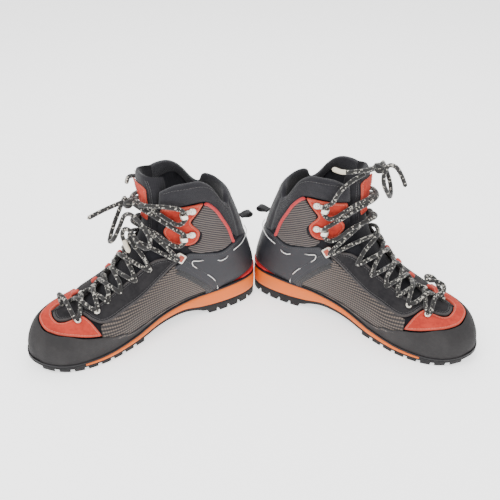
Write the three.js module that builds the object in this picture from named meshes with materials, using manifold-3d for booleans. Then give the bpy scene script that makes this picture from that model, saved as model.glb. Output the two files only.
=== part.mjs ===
// A pair of mid-height mountaineering boots, laced and standing heel to heel.
// One boot is described in its own frame: x from the heel to the toe, y to the inner side, z up.
// The right boot is placed as it is and the left boot is its mirror image.
import * as THREE from 'three';
import { mergeVertices } from 'three/addons/utils/BufferGeometryUtils.js';
import Module from 'manifold-3d';

const wasm = await Module();
wasm.setup();

// ---- driving dimensions, in millimetres ------------------------------------------------------
const BOOT_LENGTH = 300;      // heel to toe along the sole
const BALL_WIDTH = 106;       // widest part of the upper
const SHAFT_HEIGHT = 218;     // top of the last above the sole's base
const LUG_DEPTH = 6;          // tread lugs under the forefoot
const FORE_FOAM = 4;          // foam under the ball of the foot
const FRAME_T = 2;            // stiff board whose edge shows as a dark line
const PANEL_T = 2;            // upper panels
const LINING_T = 2.4;         // inner bootie
const LINING_IN = 1.4;        // from the panels' inner face to the bootie
const CLIP_PROUD = 1.2;       // how far the heel clip stands out from the panels
const RAND_T = 2.6;           // rubber rand
const COLLAR_T = 8.5;         // padded collar
const COLLAR_PROUD = 2.5;     // how far the collar stands outside the panels' inner face
const TONGUE_T = 5;           // padded tongue
const INSOLE_T = 4;           // loose footbed
const INSOLE_LIFT = 2.4;      // cork under it
const LACE_D = 5;             // round lace
const CABLE_D = 1.4;          // heel-hold cable
const HOOK_W = 6;             // lace hook, along the boot
const LINK_SIZE = 10;         // square instep link
const LOOP_W = 10;            // heel pull loop
const LOOP_ROOT = 2.4;        // radius of its rolled root
const GAP = 0.3;              // clearance between pieces that touch
const TOE_OUT = 30.5;         // each boot's turn away from the line of the pair, in degrees
const HEEL_X = 8.4;           // heel of each boot from the middle of the pair
const HEEL_Y = 7.6;           // the left heel stands this far behind, the right one in front

const RIGHT_TONGUE_LEAN = 13; // the right tongue has fallen forward at its top
const LEFT_TONGUE_LEAN = 3;

// ---- the last: rings from the toe over the instep and the heel to the top ---------------------
// x and z of each ring's front (or top) point, x and z of its back (or bottom) point, half width,
// middle, and how square the ring's front and back halves are. z is above the sole's base.
const RINGS = [
  [298, 28, 297, 14, 4, 13, 2.0, 2.4],
  [292, 40, 291, 8, 22, 12, 2.0, 3.0],
  [280, 48, 278, 4, 36, 10, 2.1, 3.4],
  [260, 52, 256, 2, 47, 8, 2.1, 3.6],
  [233, 55, 228, 1, 53, 5, 2.1, 3.8],
  [206, 64, 196, 3, 53, 3, 2.1, 3.8],
  [187, 77, 164, 8, 46, 0, 2.1, 3.6],
  [172, 91, 132, 14, 40, -1, 2.1, 3.4],
  [160, 106, 98, 19, 37, -1, 2.1, 3.4],
  [152, 120, 62, 21, 36, 0, 2.1, 3.4],
  [148, 131, 26, 22, 35, 0, 2.1, 3.0],
  [145, 140, 3, 27, 35, 0, 2.1, 2.6],
  [144, 148, 0, 48, 36, 0, 2.1, 2.4],
  [142, 158, 6, 74, 38, 0, 2.2, 2.3],
  [140, 170, 14, 100, 40, 0, 2.2, 2.2],
  [138, 182, 24, 128, 43, 0, 2.3, 2.2],
  [136, 194, 34, 154, 45, 0, 2.3, 2.2],
  [134, 206, 44, 180, 47, 0, 2.3, 2.2],
  [132, 218, 54, 206, 49, 0, 2.3, 2.2],
];
const REF = { length: 300, width: 106, height: 218 };
const SX = BOOT_LENGTH / REF.length;
const SY = BALL_WIDTH / REF.width;
const FOOT_H = 60;            // below this height a taller shaft changes nothing
const SZ = (SHAFT_HEIGHT - FOOT_H) / (REF.height - FOOT_H);
const tall = (z) => (z <= FOOT_H ? z : FOOT_H + SZ * (z - FOOT_H));
const SOLE_BASE = LUG_DEPTH + FORE_FOAM;

// ---- the sole: x, middle and half width of its plan outline -----------------------------------
const PLAN = [
  [-3, 0, 2], [0, 0, 15], [9, 0, 26], [28, 0, 33], [60, 0, 35], [100, -1, 33], [140, -1, 35],
  [180, 1, 45], [215, 4, 51], [245, 6, 49.5], [270, 8, 41], [287, 10, 28], [296, 12, 14], [299, 13, 3],
];
// x, then the heights above the forefoot's own: under the rubber plate, under the foam, over it
const SOLE = [
  [-3, 2.5, 7.5, 25], [40, 2, 7.5, 24.5], [80, 2, 8, 21.8], [92, 6, 9, 20.7], [110, 9.5, 12, 18],
  [130, 8, 10, 14], [150, 5, 6.8, 9.6], [168, 2, 3.6, 5.8], [185, 0.4, 1.4, 3], [215, 0, 0.6, 0.8],
  [245, 0.2, 0.7, -0.6], [262, 1, 1.4, -0.8], [280, 4, 4, 1.2], [299, 9, 9, 6.2],
];
const PLATE_REST = LUG_DEPTH - 2.2;   // under the rubber plate of the forefoot

/** Row t of a table, by Catmull-Rom interpolation of its columns. */
function splineRow(rows, t) {
  const last = rows.length - 1;
  const x = Math.min(Math.max(t, 0), last - 1e-9);
  const i = Math.floor(x);
  const f = x - i;
  const row = (k) => rows[Math.min(Math.max(k, 0), last)];
  return rows[0].map((_, c) => {
    const [a, b, d, e] = [row(i - 1)[c], row(i)[c], row(i + 1)[c], row(i + 2)[c]];
    return 0.5 * (2 * b + (d - a) * f + (2 * a - 5 * b + 4 * d - e) * f * f
      + (3 * b - a - 3 * d + e) * f * f * f);
  });
}

/** The row of a table whose first column reaches x. */
function rowAt(rows, x) {
  let low = 0;
  let high = rows.length - 1;
  for (let i = 0; i < 30; i += 1) {
    const mid = (low + high) / 2;
    if (splineRow(rows, mid)[0] < x) low = mid;
    else high = mid;
  }
  return splineRow(rows, low);
}

const plateUnder = (x) => PLATE_REST + rowAt(SOLE, x / SX)[1];
const foamUnder = (x) => LUG_DEPTH + rowAt(SOLE, x / SX)[2];
const foamTop = (x) => SOLE_BASE + rowAt(SOLE, x / SX)[3];
const boardTop = (x) => foamTop(x) + GAP + FRAME_T;
const upperBase = (x) => boardTop(x) + GAP;
const toeSpring = (x) => Math.max(0, plateUnder(x) - PLATE_REST - 0.3) * (x > BOOT_LENGTH * 0.7 ? 1 : 0);

/** A point of the sole's outline: side is 1 for the inner side and -1 for the outer side. */
function outline(x, side, inset) {
  const [, middle, half] = rowAt(PLAN, x / SX);
  return SY * middle + side * Math.max(SY * half - inset, 1.2);
}

// ---- the last's surface -----------------------------------------------------------------------
/** Surface point at ring u and turn v (0 front or top, 0.25 inner side, 0.5 back or bottom). */
function lastPoint(u, v) {
  const [tx, tz, bx, bz, half, middle, nf, nb] = splineRow(RINGS, u);
  const c = Math.cos(2 * Math.PI * v);
  const s = Math.sin(2 * Math.PI * v);
  const n = c > 0 ? nf : nb;
  const along = Math.sign(c) * Math.abs(c) ** (2 / n);
  const across = Math.sign(s) * Math.abs(s) ** (2 / n);
  return new THREE.Vector3(
    SX * ((tx + bx) / 2 + (tx - bx) / 2 * along),
    SY * (middle + half * across),
    SOLE_BASE + (tall(tz) + tall(bz)) / 2 + (tall(tz) - tall(bz)) / 2 * along,
  );
}

/** Outward normal of the last at (u, v). */
function lastNormal(u, v) {
  const d = 0.002;
  const along = lastPoint(u + d, v).sub(lastPoint(u - d, v));
  const around = lastPoint(u, v + d).sub(lastPoint(u, v - d));
  return around.cross(along).normalize();
}

/** Point h outside the last at (u, v). */
function onLast(u, v, h) {
  return lastPoint(u, v).addScaledVector(lastNormal(u, v), h);
}

// ---- solids -----------------------------------------------------------------------------------
/** Turns a geometry inside out where its faces point in. */
function facesOut(geometry) {
  const p = geometry.attributes.position;
  const ix = geometry.index;
  const [a, b, c] = [new THREE.Vector3(), new THREE.Vector3(), new THREE.Vector3()];
  let volume = 0;
  for (let i = 0; i < ix.count; i += 3) {
    a.fromBufferAttribute(p, ix.getX(i));
    b.fromBufferAttribute(p, ix.getX(i + 1));
    c.fromBufferAttribute(p, ix.getX(i + 2));
    volume += a.dot(b.cross(c));
  }
  if (volume < 0) {
    for (let i = 0; i < ix.count; i += 3) {
      const keep = ix.getX(i);
      ix.setX(i, ix.getX(i + 1));
      ix.setX(i + 1, keep);
    }
  }
  return geometry;
}

/** Only the shared corner points of a geometry. */
function bare(geometry) {
  const g = geometry.index ? geometry.clone() : mergeVertices(geometry);
  g.deleteAttribute('uv');
  g.deleteAttribute('normal');
  return facesOut(mergeVertices(g, 1e-4));
}

/** A block of nu x nv x nh cells whose corners are moved by place(a, b, c), each from 0 to 1. */
function bent(nu, nv, place, nh = 1) {
  const g = new THREE.BoxGeometry(1, 1, 1, nu, nv, nh);
  const p = g.attributes.position;
  for (let i = 0; i < p.count; i += 1) {
    const q = place(p.getX(i) + 0.5, p.getY(i) + 0.5, p.getZ(i) + 0.5);
    p.setXYZ(i, q.x, q.y, q.z);
  }
  return bare(g);
}

/** Spline through hand-set (u, v) points, as a function from 0 to 1. */
function edge(points) {
  return (t) => splineRow(points, t * (points.length - 1));
}

/** The same edge on the outer side. */
const mirrored = (points) => points.map(([u, v]) => [u, -v]);

/** A panel on the last between two edges, from h0 to h1 outside it. */
function panel(low, high, nu, nv, h0, h1) {
  const [from, to] = [edge(low), edge(high)];
  return bent(nu, nv, (a, b, c) => {
    const [ua, va] = from(a);
    const [ub, vb] = to(a);
    const p = onLast(ua + (ub - ua) * b, va + (vb - va) * b, h0 + (h1 - h0) * c);
    p.z = Math.max(p.z, upperBase(p.x) + GAP);
    return p;
  });
}

/** Places along the sole that all its layers share, closer together at the two ends. */
const SOLE_CELLS = 24;
const FOAM_CELLS = 19;        // the foam thins out before the toe
const soleX = (i) => SX * (-3 + 302 * (1 - Math.cos((Math.PI * i) / SOLE_CELLS)) / 2);

/** A layer of the sole over the first cells, between two heights, inset from the plan outline. */
function layer(cells, inset, under, over) {
  return bent(cells, 2, (a, b, c) => {
    const x = soleX(cells * a);
    const y = outline(x, -1, inset) * (1 - b) + outline(x, 1, inset) * b;
    return new THREE.Vector3(x, y, under(x) * (1 - c) + over(x) * c);
  });
}

/** A round cord through points; with one step between points it turns exactly at each of them. */
function tube(points, diameter, steps) {
  const section = new THREE.Shape();
  const sides = 8;
  for (let i = 0; i < sides; i += 1) {
    const t = (2 * Math.PI * i) / sides;
    const [x, y] = [diameter / 2 * Math.cos(t), diameter / 2 * Math.sin(t)];
    if (i === 0) section.moveTo(x, y);
    else section.lineTo(x, y);
  }
  const path = new THREE.CatmullRomCurve3(points, false, 'centripetal');
  if (steps === points.length - 1) {
    path.getPointAt = (t) => path.getPoint(t);
    path.getTangentAt = (t) => path.getTangent(t);
  }
  return bare(new THREE.ExtrudeGeometry(section, { steps, extrudePath: path, bevelEnabled: false }));
}

/** A manifold solid of a geometry. */
function solid(geometry) {
  const g = bare(geometry);
  return new wasm.Manifold(new wasm.Mesh({
    numProp: 3,
    vertProperties: new Float32Array(g.attributes.position.array),
    triVerts: new Uint32Array(g.index.array),
  }));
}

/** A geometry of a manifold solid. */
function geometryOf(manifold) {
  const mesh = manifold.getMesh();
  const g = new THREE.BufferGeometry();
  g.setAttribute('position', new THREE.BufferAttribute(new Float32Array(mesh.vertProperties), 3));
  g.setIndex(new THREE.BufferAttribute(new Uint32Array(mesh.triVerts), 1));
  return g;
}

// ---- finishes ---------------------------------------------------------------------------------
const finish = (color, roughness, metalness = 0) => (
  new THREE.MeshStandardMaterial({ color, roughness, metalness }));
const FINISH = {
  rubber: finish(0x17171a, 0.75),
  foam: finish(0xe8631c, 0.7),
  board: finish(0x141416, 0.6),
  clip: finish(0xc81e22, 0.45),
  insole: finish(0x4a4a50, 0.9),
  lining: finish(0x23232c, 0.95),
  rand: finish(0x3a393b, 0.7),
  redSuede: finish(0xcf4632, 0.85),
  greySuede: finish(0x2e2c2e, 0.9),
  check: finish(0x6e655f, 0.85),
  counter: finish(0x2c2d36, 0.65),
  stripe: finish(0x575250, 0.85),
  collar: finish(0x2f2f33, 0.95),
  webbing: finish(0x1f1f22, 0.9),
  metal: finish(0xc6c1b6, 0.35, 0.9),
  cable: finish(0xdedede, 0.5),
  lace: finish(0x3a3936, 0.9),
};

// ---- seams between the panels, as (ring, turn) points of the inner side ------------------------
const RAND_TOP = [
  [8.8, 0.322], [8.2, 0.314], [7.45, 0.303], [6.6, 0.289], [5.75, 0.271], [4.9, 0.238],
  [4.35, 0.2], [3.6, 0.163], [3.1, 0.13], [2.6, 0.104], [2.15, 0.056], [2.05, 0],
];
// where each of those points stands along the sole, from the waist round to the toe
const RAND_X = [76, 98, 125, 155, 182, 210, 230, 250, 267, 282, 293, 299];
const TOE_INNER = [
  [4.25, 0.165], [4.1, 0.1], [3.86, 0.056], [3.5, 0.06], [3.15, 0.058], [2.88, 0.04], [2.78, 0],
];
const TOE_OUTER = [
  [4.28, 0.182], [3.72, 0.154], [3.4, 0.136], [3.05, 0.117], [2.66, 0.091], [2.28, 0.05],
  [2.18, 0],
];
const THROAT = [
  [9.5, 0.165], [8.8, 0.137], [8, 0.118], [7.3, 0.106], [6.6, 0.092], [5.95, 0.076], [5.4, 0.063],
  [4.8, 0.055], [4.4, 0.046], [4.3, 0.024], [4.3, 0],
];
const VAMP_OUTER = [
  [9.5, 0.19], [8.8, 0.19], [8.05, 0.194], [7.1, 0.194], [6.3, 0.183], [5.35, 0.155], [4.6, 0.138],
  [4.25, 0.1], [3.96, 0.046], [3.45, 0.048], [3.02, 0.032], [2.9, 0],
];
const SIDE_LOW = [
  [4.42, 0.19], [4.9, 0.224], [5.75, 0.257], [6.6, 0.276], [7.45, 0.289], [8.3, 0.3],
  [8.95, 0.306],
];
const SIDE_HIGH = [
  [4.5, 0.153], [5.35, 0.167], [6.3, 0.195], [7.1, 0.206], [8.05, 0.206], [8.7, 0.204], [9.1, 0.2],
];
const CLIP_LOW = [[8.9, 0.397], [9.6, 0.4], [10.3, 0.4], [10.8, 0.41], [11.05, 0.44], [11.1, 0.5]];
const CLIP_HIGH = [[8.9, 0.387], [9.6, 0.372], [10.3, 0.363], [10.9, 0.37], [11.4, 0.4], [11.75, 0.45], [11.85, 0.5]];
const COUNTER_LOW = [[9.1, 0.378], [9.65, 0.362], [10.35, 0.352], [11.0, 0.36], [11.5, 0.393], [11.85, 0.447], [11.97, 0.5]];
const COUNTER_HIGH = [
  [9.5, 0.212], [10.5, 0.196], [11, 0.213], [11.45, 0.238], [12.15, 0.274], [12.9, 0.31],
  [13.35, 0.345], [13.75, 0.4], [13.85, 0.5],
];
const ANKLE_FRONT = [
  [15.72, 0.258], [14.95, 0.238], [14.1, 0.214], [13.8, 0.215], [13.4, 0.235], [12.7, 0.23],
  [11.95, 0.212], [11.4, 0.192],
];
const ANKLE_REAR = [
  [15.68, 0.268], [15.4, 0.286], [14.8, 0.303], [14.2, 0.318], [13.5, 0.322], [12.95, 0.297],
  [12.25, 0.262], [11.6, 0.228], [11.3, 0.206],
];
const OVERLAY_FRONT = [
  [14.2, 0.108], [13.8, 0.104], [13.15, 0.104], [12.75, 0.126], [12.1, 0.118], [11.5, 0.122],
  [11, 0.14],
];
const OVERLAY_REAR = [
  [15.7, 0.246], [14.95, 0.226], [14.1, 0.201], [13.75, 0.201], [13.35, 0.221], [12.7, 0.216],
  [11.95, 0.198], [11.3, 0.172],
];
const COLLAR_LOW = [
  [14.35, 0.092], [15.05, 0.155], [15.95, 0.24], [15.9, 0.272], [15.2, 0.3], [14.4, 0.325],
  [13.85, 0.345], [13.95, 0.39], [14, 0.44], [14, 0.5],
];
const COLLAR_HIGH = [
  [15.6, 0.092], [16.6, 0.155], [17.15, 0.235], [17.15, 0.272], [16.85, 0.3], [16.1, 0.325],
  [15.8, 0.352], [16.3, 0.39], [16.5, 0.44], [16.5, 0.5],
];
const LINING_HIGH = [
  [14.15, 0.1], [14.85, 0.155], [15.7, 0.24], [15.7, 0.272], [15, 0.3], [14.2, 0.325],
  [13.65, 0.345], [13.7, 0.39], [13.8, 0.44], [13.8, 0.5],
];

/** Both sides of a seam that runs from the inner side round the toe (turn 0) to the outer side. */
const roundToe = (points) => [...points, ...mirrored(points.slice(0, -1)).reverse()];
/** Both sides of a seam that runs round the heel (turn 0.5). */
const roundHeel = (points) => [...points, ...points.slice(0, -1).reverse().map(([u, v]) => [u, 1 - v])];

// ---- the sole unit ----------------------------------------------------------------------------
/** One tread lug from the outline inwards. */
function lug(x, length, side, depth) {
  return bent(1, 1, (a, b, c) => {
    const at = x + length * a;
    const edgeY = outline(at, side, 1.5);
    const y = edgeY - side * depth * b;
    return new THREE.Vector3(at, y, (toeSpring(at)) * (1 - c) + (plateUnder(at) + 0.8) * c);
  });
}

/** Rubber outsole: a plate with lugs all round and an open arch. */
function outsole() {
  const plate = layer(SOLE_CELLS, 1, plateUnder, (x) => foamUnder(x) - GAP);
  const pitch = 15.5 * SX;
  let rubber = solid(plate);
  const rows = [[4 * SX, 5, 20], [170 * SX, 8, 17]];
  for (const [start, count, depth] of rows) {
    for (let i = 0; i < count; i += 1) {
      for (const side of [-1, 1]) {
        const x = start + i * pitch;
        rubber = rubber.add(solid(lug(x, pitch * 0.68, side, depth * SY)));
      }
    }
  }
  return geometryOf(rubber);
}

const midsole = () => layer(FOAM_CELLS, 0, foamUnder, foamTop);
const board = () => layer(SOLE_CELLS, 0.5, (x) => foamTop(x) + GAP, boardTop);

/** Loose footbed on the floor of the bootie. */
function insole() {
  const [from, to] = [26 * SX, 246 * SX];
  const floor = (x) => upperBase(x) + GAP + LINING_T + INSOLE_LIFT + 0.07 * Math.max(0, x - 205 * SX);
  return bent(14, 2, (a, b, c) => {
    const x = from + (to - from) * a;
    const round = 1 - Math.abs(2 * a - 1) ** 6;
    const inset = 20 * SY + 12 * SY * (1 - round);
    const y = outline(x, -1, inset) * (1 - b) + outline(x, 1, inset) * b;
    return new THREE.Vector3(x, y, floor(x) + INSOLE_T * c);
  });
}

// ---- the upper --------------------------------------------------------------------------------
/** Inner bootie: open at the throat and at the top, with a flat floor on the board. */
function lining() {
  const high = edge(roundHeel(LINING_HIGH));
  const slit = (u) => 0.03 + Math.min(1, Math.max(0, (u - 4.3) / 2)) * 0.06;
  const wall = 1.2 + RAND_T + 1.6;
  return bent(14, 12, (a, b, c) => {
    const [top, turn] = high(b);
    const u = 1.2 + (top - 1.2) * a;
    const open = slit(u);
    const even = open + (1 - 2 * open) * b;
    const v = even + (turn - even) * Math.max(0, (a - 0.6) / 0.4);
    const toe = 9.5 * Math.max(0, 1 - u / 5);
    const skin = LINING_T * (1 - c);
    const p = onLast(u, v, -LINING_IN - toe - skin);
    const rise = Math.min(1, Math.max(0, (p.z - upperBase(p.x) - 24) / 12));
    const inset = (wall + skin) * (1 - rise) - 6 * rise;
    p.y = Math.min(Math.max(p.y, outline(p.x, -1, inset)), outline(p.x, 1, inset));
    p.z = Math.max(p.z, upperBase(p.x) + GAP + skin);
    return p;
  });
}

/** Rubber rand: a wall from the board's edge up to the suede, round the toe. */
function rand() {
  const top = edge(roundToe(RAND_TOP));
  const count = RAND_TOP.length - 1;
  const station = edge([...RAND_X, ...RAND_X.slice(0, -1).reverse()].map((x) => [x]));
  return bent(26, 3, (a, b, c) => {
    const side = a < 0.5 ? 1 : -1;
    const x = SX * Math.min(station(a)[0], 298.6);
    const inset = 1.2 + RAND_T * (1 - c);
    const atToe = Math.abs(a - 0.5) < 0.5 / count / 4;
    const y = atToe ? SY * rowAt(PLAN, x / SX)[1] : outline(x, side, inset);
    const foot = new THREE.Vector3(x - (x > 290 * SX ? inset : 0), y, upperBase(x));
    const [u, v] = top(a);
    const rim = onLast(u, v, RAND_T * c);
    const knee = new THREE.Vector3(foot.x, foot.y, foot.z + (rim.z - foot.z) * 0.72);
    const grow = Math.min(1, Math.max(0, (x / SX - 80) / 60));
    knee.y += side * 3 * SY * grow * (x > 285 * SX ? 0 : 1);
    const w = 1 - b;
    return foot.multiplyScalar(w * w).addScaledVector(knee, 2 * w * b).addScaledVector(rim, b * b);
  });
}

const toeOverlay = () => panel(roundToe(TOE_OUTER), roundToe(TOE_INNER), 24, 2, 0, PANEL_T);
const vamp = () => panel(roundToe(VAMP_OUTER), roundToe(THROAT), 30, 2, 0, PANEL_T);
const counter = () => panel(roundHeel(COUNTER_LOW), roundHeel(COUNTER_HIGH), 20, 4, 0, PANEL_T);
const clip = () => panel(roundHeel(CLIP_LOW), roundHeel(CLIP_HIGH), 20, 1, 0, PANEL_T + CLIP_PROUD);
const bySide = (points, side) => (side > 0 ? points : mirrored(points));
const sidePanel = (side) => panel(bySide(SIDE_LOW, side), bySide(SIDE_HIGH, side), 12, 3, 0, PANEL_T);
const anklePanel = (side) => panel(bySide(ANKLE_FRONT, side), bySide(ANKLE_REAR, side), 10, 3, 0, PANEL_T);
const overlay = (side) => panel(bySide(OVERLAY_FRONT, side), bySide(OVERLAY_REAR, side), 12, 3, 0, PANEL_T);

/** Padded collar with a dip on each side of its back lobe. */
function collar() {
  return panel(roundHeel(COLLAR_LOW), roundHeel(COLLAR_HIGH), 26, 3, COLLAR_PROUD - COLLAR_T, COLLAR_PROUD);
}

/** How far the tongue's front face stands from the last at ring u. */
function tongueFace(u, lean) {
  const free = Math.max(0, Math.min(1, (u - 12.4) / 2.4));
  const sunk = LINING_IN + LINING_T + 1.9;
  return -sunk + (sunk + 1.2) * free + lean * Math.max(0, (u - 13.7) / 4) ** 1.4;
}

/** Padded tongue, from the throat to above the collar. */
function tongue(lean) {
  const half = (u) => 0.105 - 0.03 * Math.min(1, Math.max(0, (u - 10) / 1.6));
  const start = 4.6;
  return bent(14, 4, (a, b, c) => {
    const u = start + (17.5 - start) * a;
    const v = half(u) * (2 * b - 1) * Math.min(1, 0.45 + (u - start) / 3);
    return onLast(u, v, tongueFace(u, lean) - TONGUE_T * (1 - c));
  });
}

/** Suede patch on the tongue's front. */
function tonguePatch(lean) {
  return bent(8, 2, (a, b, c) => {
    const u = 13.1 + 3.9 * a;
    return onLast(u, 0.04 * (2 * b - 1), tongueFace(u, lean) + 2 * GAP + 1.2 * c);
  });
}

/** Webbing loop at the back of the collar: its rounded root turns on a seam below the lobe. */
function pullLoop() {
  const root = onLast(14.35, 0.5, COLLAR_PROUD + GAP + 0.2);
  const strip = new THREE.Shape();
  strip.absarc(0, 0, LOOP_ROOT, -Math.PI / 2, Math.PI / 2, false);
  strip.lineTo(-3.4, 4.4);
  strip.lineTo(-12.4, 4.4);
  strip.absarc(-12.4, 0, 4.4, Math.PI / 2, Math.PI * 1.5, false);
  strip.lineTo(-3.4, -4.4);
  const eye = new THREE.Path();
  eye.absarc(-12.4, 0, 2.9, Math.PI / 2, Math.PI * 1.5, false);
  eye.lineTo(-3, -2.7);
  eye.lineTo(-3, 2.7);
  strip.holes.push(eye);
  const g = new THREE.ExtrudeGeometry(strip, { depth: LOOP_W, bevelEnabled: false, curveSegments: 6 });
  g.rotateX(Math.PI / 2);
  g.translate(root.x - LOOP_ROOT, LOOP_W / 2, root.z);
  return bare(g);
}

// ---- metal parts ------------------------------------------------------------------------------
/** A frame on the last: x towards the tongue, y out of the boot, z along the edge. */
function seat(u, v, h) {
  const origin = onLast(u, v, h);
  const out = lastNormal(u, v);
  const front = onLast(u, v - Math.sign(v) * 0.02, h).sub(origin);
  front.addScaledVector(out, -front.dot(out)).normalize();
  const across = new THREE.Vector3().crossVectors(front, out);
  return new THREE.Matrix4().makeBasis(front, out, across).setPosition(origin);
}

const HOOK_T = 1.3;
const HOOK_THROAT = LACE_D + 1;
const HOOK_TURN = 0.6;                // hooks point forward and down
const HOOKS = { lower: [12.6, 0.18], upper: [14.75, 0.188] };

/** Where a hook sits, turned so that it points forward and down. */
const hookSeat = (u, v) => (
  seat(u, v, PANEL_T + GAP + 0.6).multiply(new THREE.Matrix4().makeRotationY(Math.sign(v) * HOOK_TURN)));

/** Open lace hook: a riveted plate that bends out and back over the lace. */
function hook(u, v) {
  const top = HOOK_T + HOOK_THROAT;
  const neck = LACE_D / 2 + 2.6;
  const j = new THREE.Shape();
  j.moveTo(-9, 0);
  j.lineTo(neck, 0);
  j.quadraticCurveTo(neck + 2.4, HOOK_T + HOOK_THROAT / 2, neck, top + HOOK_T);
  j.lineTo(-2.5, top + HOOK_T);
  j.lineTo(-2.5, top);
  j.lineTo(neck - 1.2, top);
  j.quadraticCurveTo(neck + 0.9, HOOK_T + HOOK_THROAT / 2, neck - 1.2, HOOK_T);
  j.lineTo(-9, HOOK_T);
  const strap = new THREE.ExtrudeGeometry(j, { depth: HOOK_W, bevelEnabled: false, curveSegments: 3 });
  strap.translate(0, 0, -HOOK_W / 2);
  const rivet = new THREE.CylinderGeometry(4.2, 4.6, HOOK_T + 1, 12);
  rivet.translate(-8, (HOOK_T + 1) / 2, 0);
  const g = geometryOf(solid(strap).add(solid(rivet)));
  return g.applyMatrix4(hookSeat(u, v));
}

const LINK = [9.95, 0.187];

/** Instep link: a rounded plate with a slot for the lace. */
function link(side) {
  const half = LINK_SIZE / 2;
  const plate = new THREE.Shape();
  plate.moveTo(-half, -half + 2);
  plate.lineTo(-half + 2, -half);
  plate.lineTo(half - 1, -half);
  plate.lineTo(half, -half + 1);
  plate.lineTo(half, half - 1);
  plate.lineTo(half - 1, half);
  plate.lineTo(-half + 2, half);
  plate.lineTo(-half, half - 2);
  const slot = new THREE.Path();
  slot.moveTo(1, -2.7);
  slot.lineTo(1, 2.7);
  slot.lineTo(3.2, 2.7);
  slot.lineTo(3.2, -2.7);
  plate.holes.push(slot);
  const g = new THREE.ExtrudeGeometry(plate, { depth: 1.6, bevelEnabled: false });
  g.rotateX(Math.PI / 2);
  g.translate(0, 1.6, 0);
  return bare(g).applyMatrix4(seat(LINK[0], side * LINK[1], PANEL_T + GAP + 0.6));
}

/** Heel-hold cable: from the back of the heel round the link's loop and down to the sole. */
function cable(side) {
  const h = PANEL_T + GAP + CABLE_D / 2 + 0.5;
  const route = [
    [13.9, 0.487], [13.85, 0.44], [13.65, 0.395], [13.2, 0.35], [12.55, 0.312], [11.75, 0.28],
    [11.05, 0.25], [10.5, 0.224], [10.2, 0.216], [9.95, 0.224], [9.84, 0.245], [9.78, 0.272],
    [9.6, 0.305], [9.35, 0.34], [9.15, 0.37],
  ];
  const raised = (u) => (u > 13.1 ? 1.2 : 0);
  return tube(route.map(([u, v]) => onLast(u, side * v, h + raised(u))), CABLE_D, route.length - 1);
}

// ---- laces ------------------------------------------------------------------------------------
// ring and turn of the lacing points of one side, from the toe up
const EYELETS = [
  [3.72, 0.075], [4.55, 0.08], [5.15, 0.078], [5.95, 0.098], [6.95, 0.122], [8, 0.144],
  [9.75, 0.18],
];
const LACE_H = PANEL_T + LACE_D / 2 + 1.5;    // lace's middle where it turns over the facing
const CROSS_LOW = LACE_D / 2 + 0.9;           // over the tongue
const CROSS_HIGH = CROSS_LOW + LACE_D + 0.9;

/** The lace's way over the tongue from one side to the other, between rings from and to. */
function crossing(from, to, side, reach, over) {
  const [u, d] = [(from + to) / 2, (from - to) / 4];
  const onVamp = 2.6 * Math.max(0, Math.min(1, (4.9 - u) / 0.4));
  const onPatch = 2.6 * Math.max(0, Math.min(1, (u - 12.4) / 0.8));
  const shoulder = LACE_H + 0.6 + (over ? 0.8 : 0);
  return [
    [u + d, side * reach, shoulder],
    [u, 0, (over ? CROSS_HIGH : CROSS_LOW) + onVamp + onPatch],
    [u - d, -side * reach, shoulder],
  ];
}

/** The turn of the lace at an eyelet. */
const turnAt = ([u, v], side) => [[u, side * v, LACE_H + (u > 9 ? 3 : 0)]];

/** The way of the lace through a hook, going down round its neck. */
const throughHook = ([u, v], side) => {
  const frame = hookSeat(u, side * v);
  const middle = HOOK_T + HOOK_THROAT / 2;
  const way = [[7, 11.5, 0], [1, 5.2, 0], [1, -5.2, 0], [10, -10.5, 1.6]];
  return way.map(([x, z, out]) => (
    new THREE.Vector3(x, middle + out, side * z).applyMatrix4(frame)));
};

/** One half of the criss-cross, from the upper hook of one side down to its toe eyelet. */
function halfLacing(side, over) {
  const route = [...throughHook(HOOKS.upper, side), ...crossing(14.2, 13.2, side, 0.085, over)];
  route.push(...throughHook(HOOKS.lower, -side), ...crossing(11.8, 10.5, -side, 0.085, over));
  let s = side;
  for (let i = EYELETS.length - 1; i >= 0; i -= 1) {
    route.push(...turnAt(EYELETS[i], s));
    if (i > 0) {
      const [[from, wide], [to]] = [EYELETS[i], EYELETS[i - 1]];
      route.push(...crossing(from, to, s, Math.min(0.6 * wide, 0.085), over));
    }
    s = -s;
  }
  return route;
}

/** The laced stretch: from the knot through the hooks and eyelets to the toe and back. */
function laceRows(ends) {
  const down = halfLacing(1, false);
  const up = halfLacing(-1, true).reverse();
  const onSurface = (rows) => rows.map((row) => (row.isVector3 ? row : onLast(...row)));
  const place = (points) => points.map(([x, y, z]) => onBoot(x, y, z));
  const points = [
    ...place(ends.inner), ...onSurface(down), ...place(ends.toe), ...onSurface(up),
    ...place(ends.outer).reverse(),
  ];
  return tube(points, LACE_D, points.length - 1);
}

/** A point given at the reference size, moved with the boot's overall sizes. */
const onBoot = (x, y, z) => new THREE.Vector3(SX * x, SY * y, SOLE_BASE + tall(z - 10));

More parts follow.
